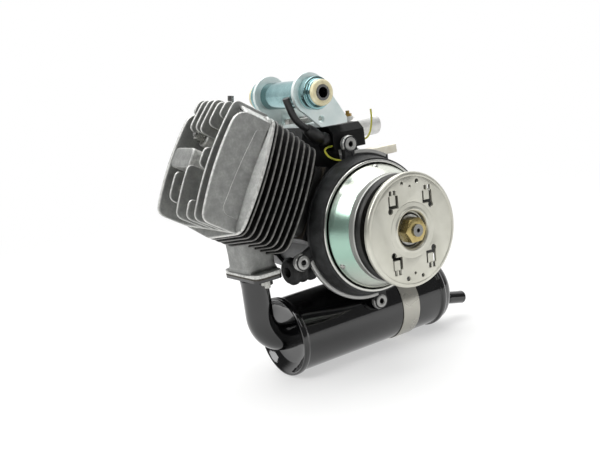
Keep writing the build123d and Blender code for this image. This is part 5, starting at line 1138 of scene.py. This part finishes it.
# %% boot and buffer
BOOT_FOOT, BOOT_MOUTH = np.array((27.5, -22.0, 89.6)), np.array((33.8, -47.6, 105.0))
BOOT_SHARE = np.array([0.0, 0.04, 0.1, 0.16, 0.2, 0.26, 0.34, 0.44, 0.56, 0.7, 0.84, 0.94, 0.985, 1.0])
BOOT_RADII = [6.0, 7.2, 7.4, 7.2, 6.0, 5.4, 5.8, 6.5, 6.8, 6.6, 6.1, 5.6, 5.0, 4.2]
BOOT_SAG = np.outer(np.sin(np.pi * BOOT_SHARE), (0.0, -0.6, -1.6))
BOOT_PATH = BOOT_FOOT + np.outer(BOOT_SHARE, BOOT_MOUTH - BOOT_FOOT) + BOOT_SAG
BOOT = build("lead_boot", swept(BOOT_PATH, BOOT_RADII, (1.0, 0.0, 0.0)), from_crank, "boot_rubber")
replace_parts(BOOT, "coil_boot")

BUFFER_PROFILE = [
    (-84.0, 5.0), (-84.0, 11.5), (-81.5, 12.4), (-80.6, 14.0), (-77.0, 14.0), (-76.0, 12.2), (-71.0, 12.2),
    (-70.0, 13.6), (-67.0, 13.6), (-66.0, 12.2), (-61.0, 12.2), (-60.2, 14.0), (-56.4, 14.0), (-55.6, 12.2),
    (-45.0, 12.2), (-45.0, 5.0),
]
BUFFER_RING = lathe(rounded(BUFFER_PROFILE, [0.8] * len(BUFFER_PROFILE), 3), 64, closed=True)
BUFFER = shifted(turned_axes(BUFFER_RING, (0, 2, 1)), (20, 0, -32))
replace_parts(build("ribbed_buffer", BUFFER, from_crank, "buffer_rubber"), "rubber_buffer")

# %% [markdown]
# ## Floor
# The silencer rests on a pale floor, which keeps the engine's shadow. A far wall would show a corner, so
# the floor itself turns plain white further out, by emission that only the camera and mirroring
# surfaces see. It lights nothing, so the engine's own tones stay true.

# %% floor
FLOOR_Z = CAD_BOX[0][2] - 0.0005
FLOOR_REACH = 9.0
SHADOW_REACH, PLAIN_FROM = 0.45, 1.3
SHADOW_SHARE = 0.5


def larger(tree, first, second):
    """The larger of two values."""
    return add(tree, "Math", {0: first, 1: second}, operation="MAXIMUM").outputs["Value"]


def seen_directly(tree):
    """1 for camera, mirror and glass rays, 0 for the rays that light the object."""
    rays = add(tree, "LightPath").outputs
    seen = larger(tree, rays["Is Camera Ray"], rays["Is Glossy Ray"])
    return larger(tree, seen, rays["Is Transmission Ray"])


def make_floor():
    """Wide white floor: lit near the object, where its shadow falls, and plain white further out."""
    mesh = bpy.data.meshes.new("floor")
    corners = ((-1, -1), (1, -1), (1, 1), (-1, 1))
    mesh.from_pydata([(x * FLOOR_REACH, y * FLOOR_REACH, FLOOR_Z) for x, y in corners], [], [(0, 1, 2, 3)])
    floor = bpy.data.objects.new("floor", mesh)
    bpy.context.scene.collection.objects.link(floor)
    material, tree, shader, coords = start(
        "white_floor", Roughness=0.7, Base_Color=linear("f2f2f1"), Specular_IOR_Level=0.2)
    away = add(tree, "VectorMath", {0: coords}, operation="LENGTH").outputs["Value"]
    far = add(tree, "MapRange", {
        "Value": away, "From Min": SHADOW_REACH, "From Max": PLAIN_FROM, "To Min": SHADOW_SHARE,
        "To Max": 1.0,
    }, interpolation_type="SMOOTHSTEP").outputs["Result"]
    share = product(tree, far, seen_directly(tree))
    plain = add(tree, "Emission", {"Color": linear("ffffff")})
    mixed = add(tree, "MixShader", {"Fac": share})
    tree.links.new(shader.outputs["BSDF"], mixed.inputs[1])
    tree.links.new(plain.outputs["Emission"], mixed.inputs[2])
    output = next(node for node in tree.nodes if node.type == "OUTPUT_MATERIAL")
    tree.links.new(mixed.outputs["Shader"], output.inputs["Surface"])
    mesh.materials.append(material)


make_floor()
print("floor at", round(FLOOR_Z, 4))

# %% [markdown]
# ## Lamps and room
# A product studio lights such an engine with large soft boxes and a white wall behind. Three square lamps
# do that here: a key from the cylinder's side, a faint one from the pulley's, and a broad one above. The
# world is the wall: white beyond the engine and dim on the camera's side, so that polished metal has
# both to mirror.

# %% lamps and room
LAMP_AIM = np.array((0.0, 0.0, -0.1))
BACKDROP_SIDE = [-CAMERA_BACK[0], -CAMERA_BACK[1], 0.0]
STUDIO_DIM = 0.16


def vector_frame(back):
    """Rotation whose local Z is the given unit vector, and whose local X is level."""
    side = np.cross((0.0, 0.0, 1.0), back)
    side = side / np.linalg.norm(side)
    up = np.cross(back, side)
    return Matrix(np.column_stack([side, up, back]).tolist()).to_4x4()


def make_lamp(name, place, size, power):
    """Square soft lamp turned to the middle of the engine."""
    lamp = bpy.data.objects.new(name, bpy.data.lights.new(name, "AREA"))
    bpy.context.scene.collection.objects.link(lamp)
    lamp.data.size = size
    lamp.data.energy = power
    back = np.array(place) - LAMP_AIM
    lamp.matrix_world = Matrix.Translation(place) @ vector_frame(back / np.linalg.norm(back))


def make_room():
    """World that lights as a white backdrop on the far side of the object and a dim studio on the near
    side; looked at straight, it is white all round."""
    world = bpy.data.worlds.new("room")
    bpy.context.scene.world = world
    world.use_nodes = True
    tree = world.node_tree
    tree.nodes.clear()
    direction = add(tree, "TexCoord").outputs["Generated"]
    ahead = add(tree, "VectorMath", {0: direction, 1: BACKDROP_SIDE}, operation="DOT_PRODUCT")
    bright = add(tree, "MapRange", {
        "Value": ahead.outputs["Value"], "From Min": 0.1, "From Max": 0.5, "To Min": STUDIO_DIM,
        "To Max": 1.0,
    }, interpolation_type="SMOOTHSTEP").outputs["Result"]
    seen = add(tree, "LightPath").outputs["Is Camera Ray"]
    light = add(tree, "Background", {"Strength": larger(tree, bright, seen), "Color": linear("ffffff")})
    add(tree, "OutputWorld", {"Surface": light.outputs["Background"]})


for lamp_name, lamp_place, lamp_size, lamp_watts in (
    ("key_lamp", (0.3, -1.2, 1.1), 0.9, 15.0),
    ("side_lamp", (1.3, 0.3, 0.9), 0.7, 2.5),
    ("top_lamp", (-0.2, 0.1, 1.3), 1.6, 30.0),
):
    make_lamp(lamp_name, lamp_place, lamp_size, lamp_watts)
    print(lamp_name, lamp_watts, "W")
make_room()
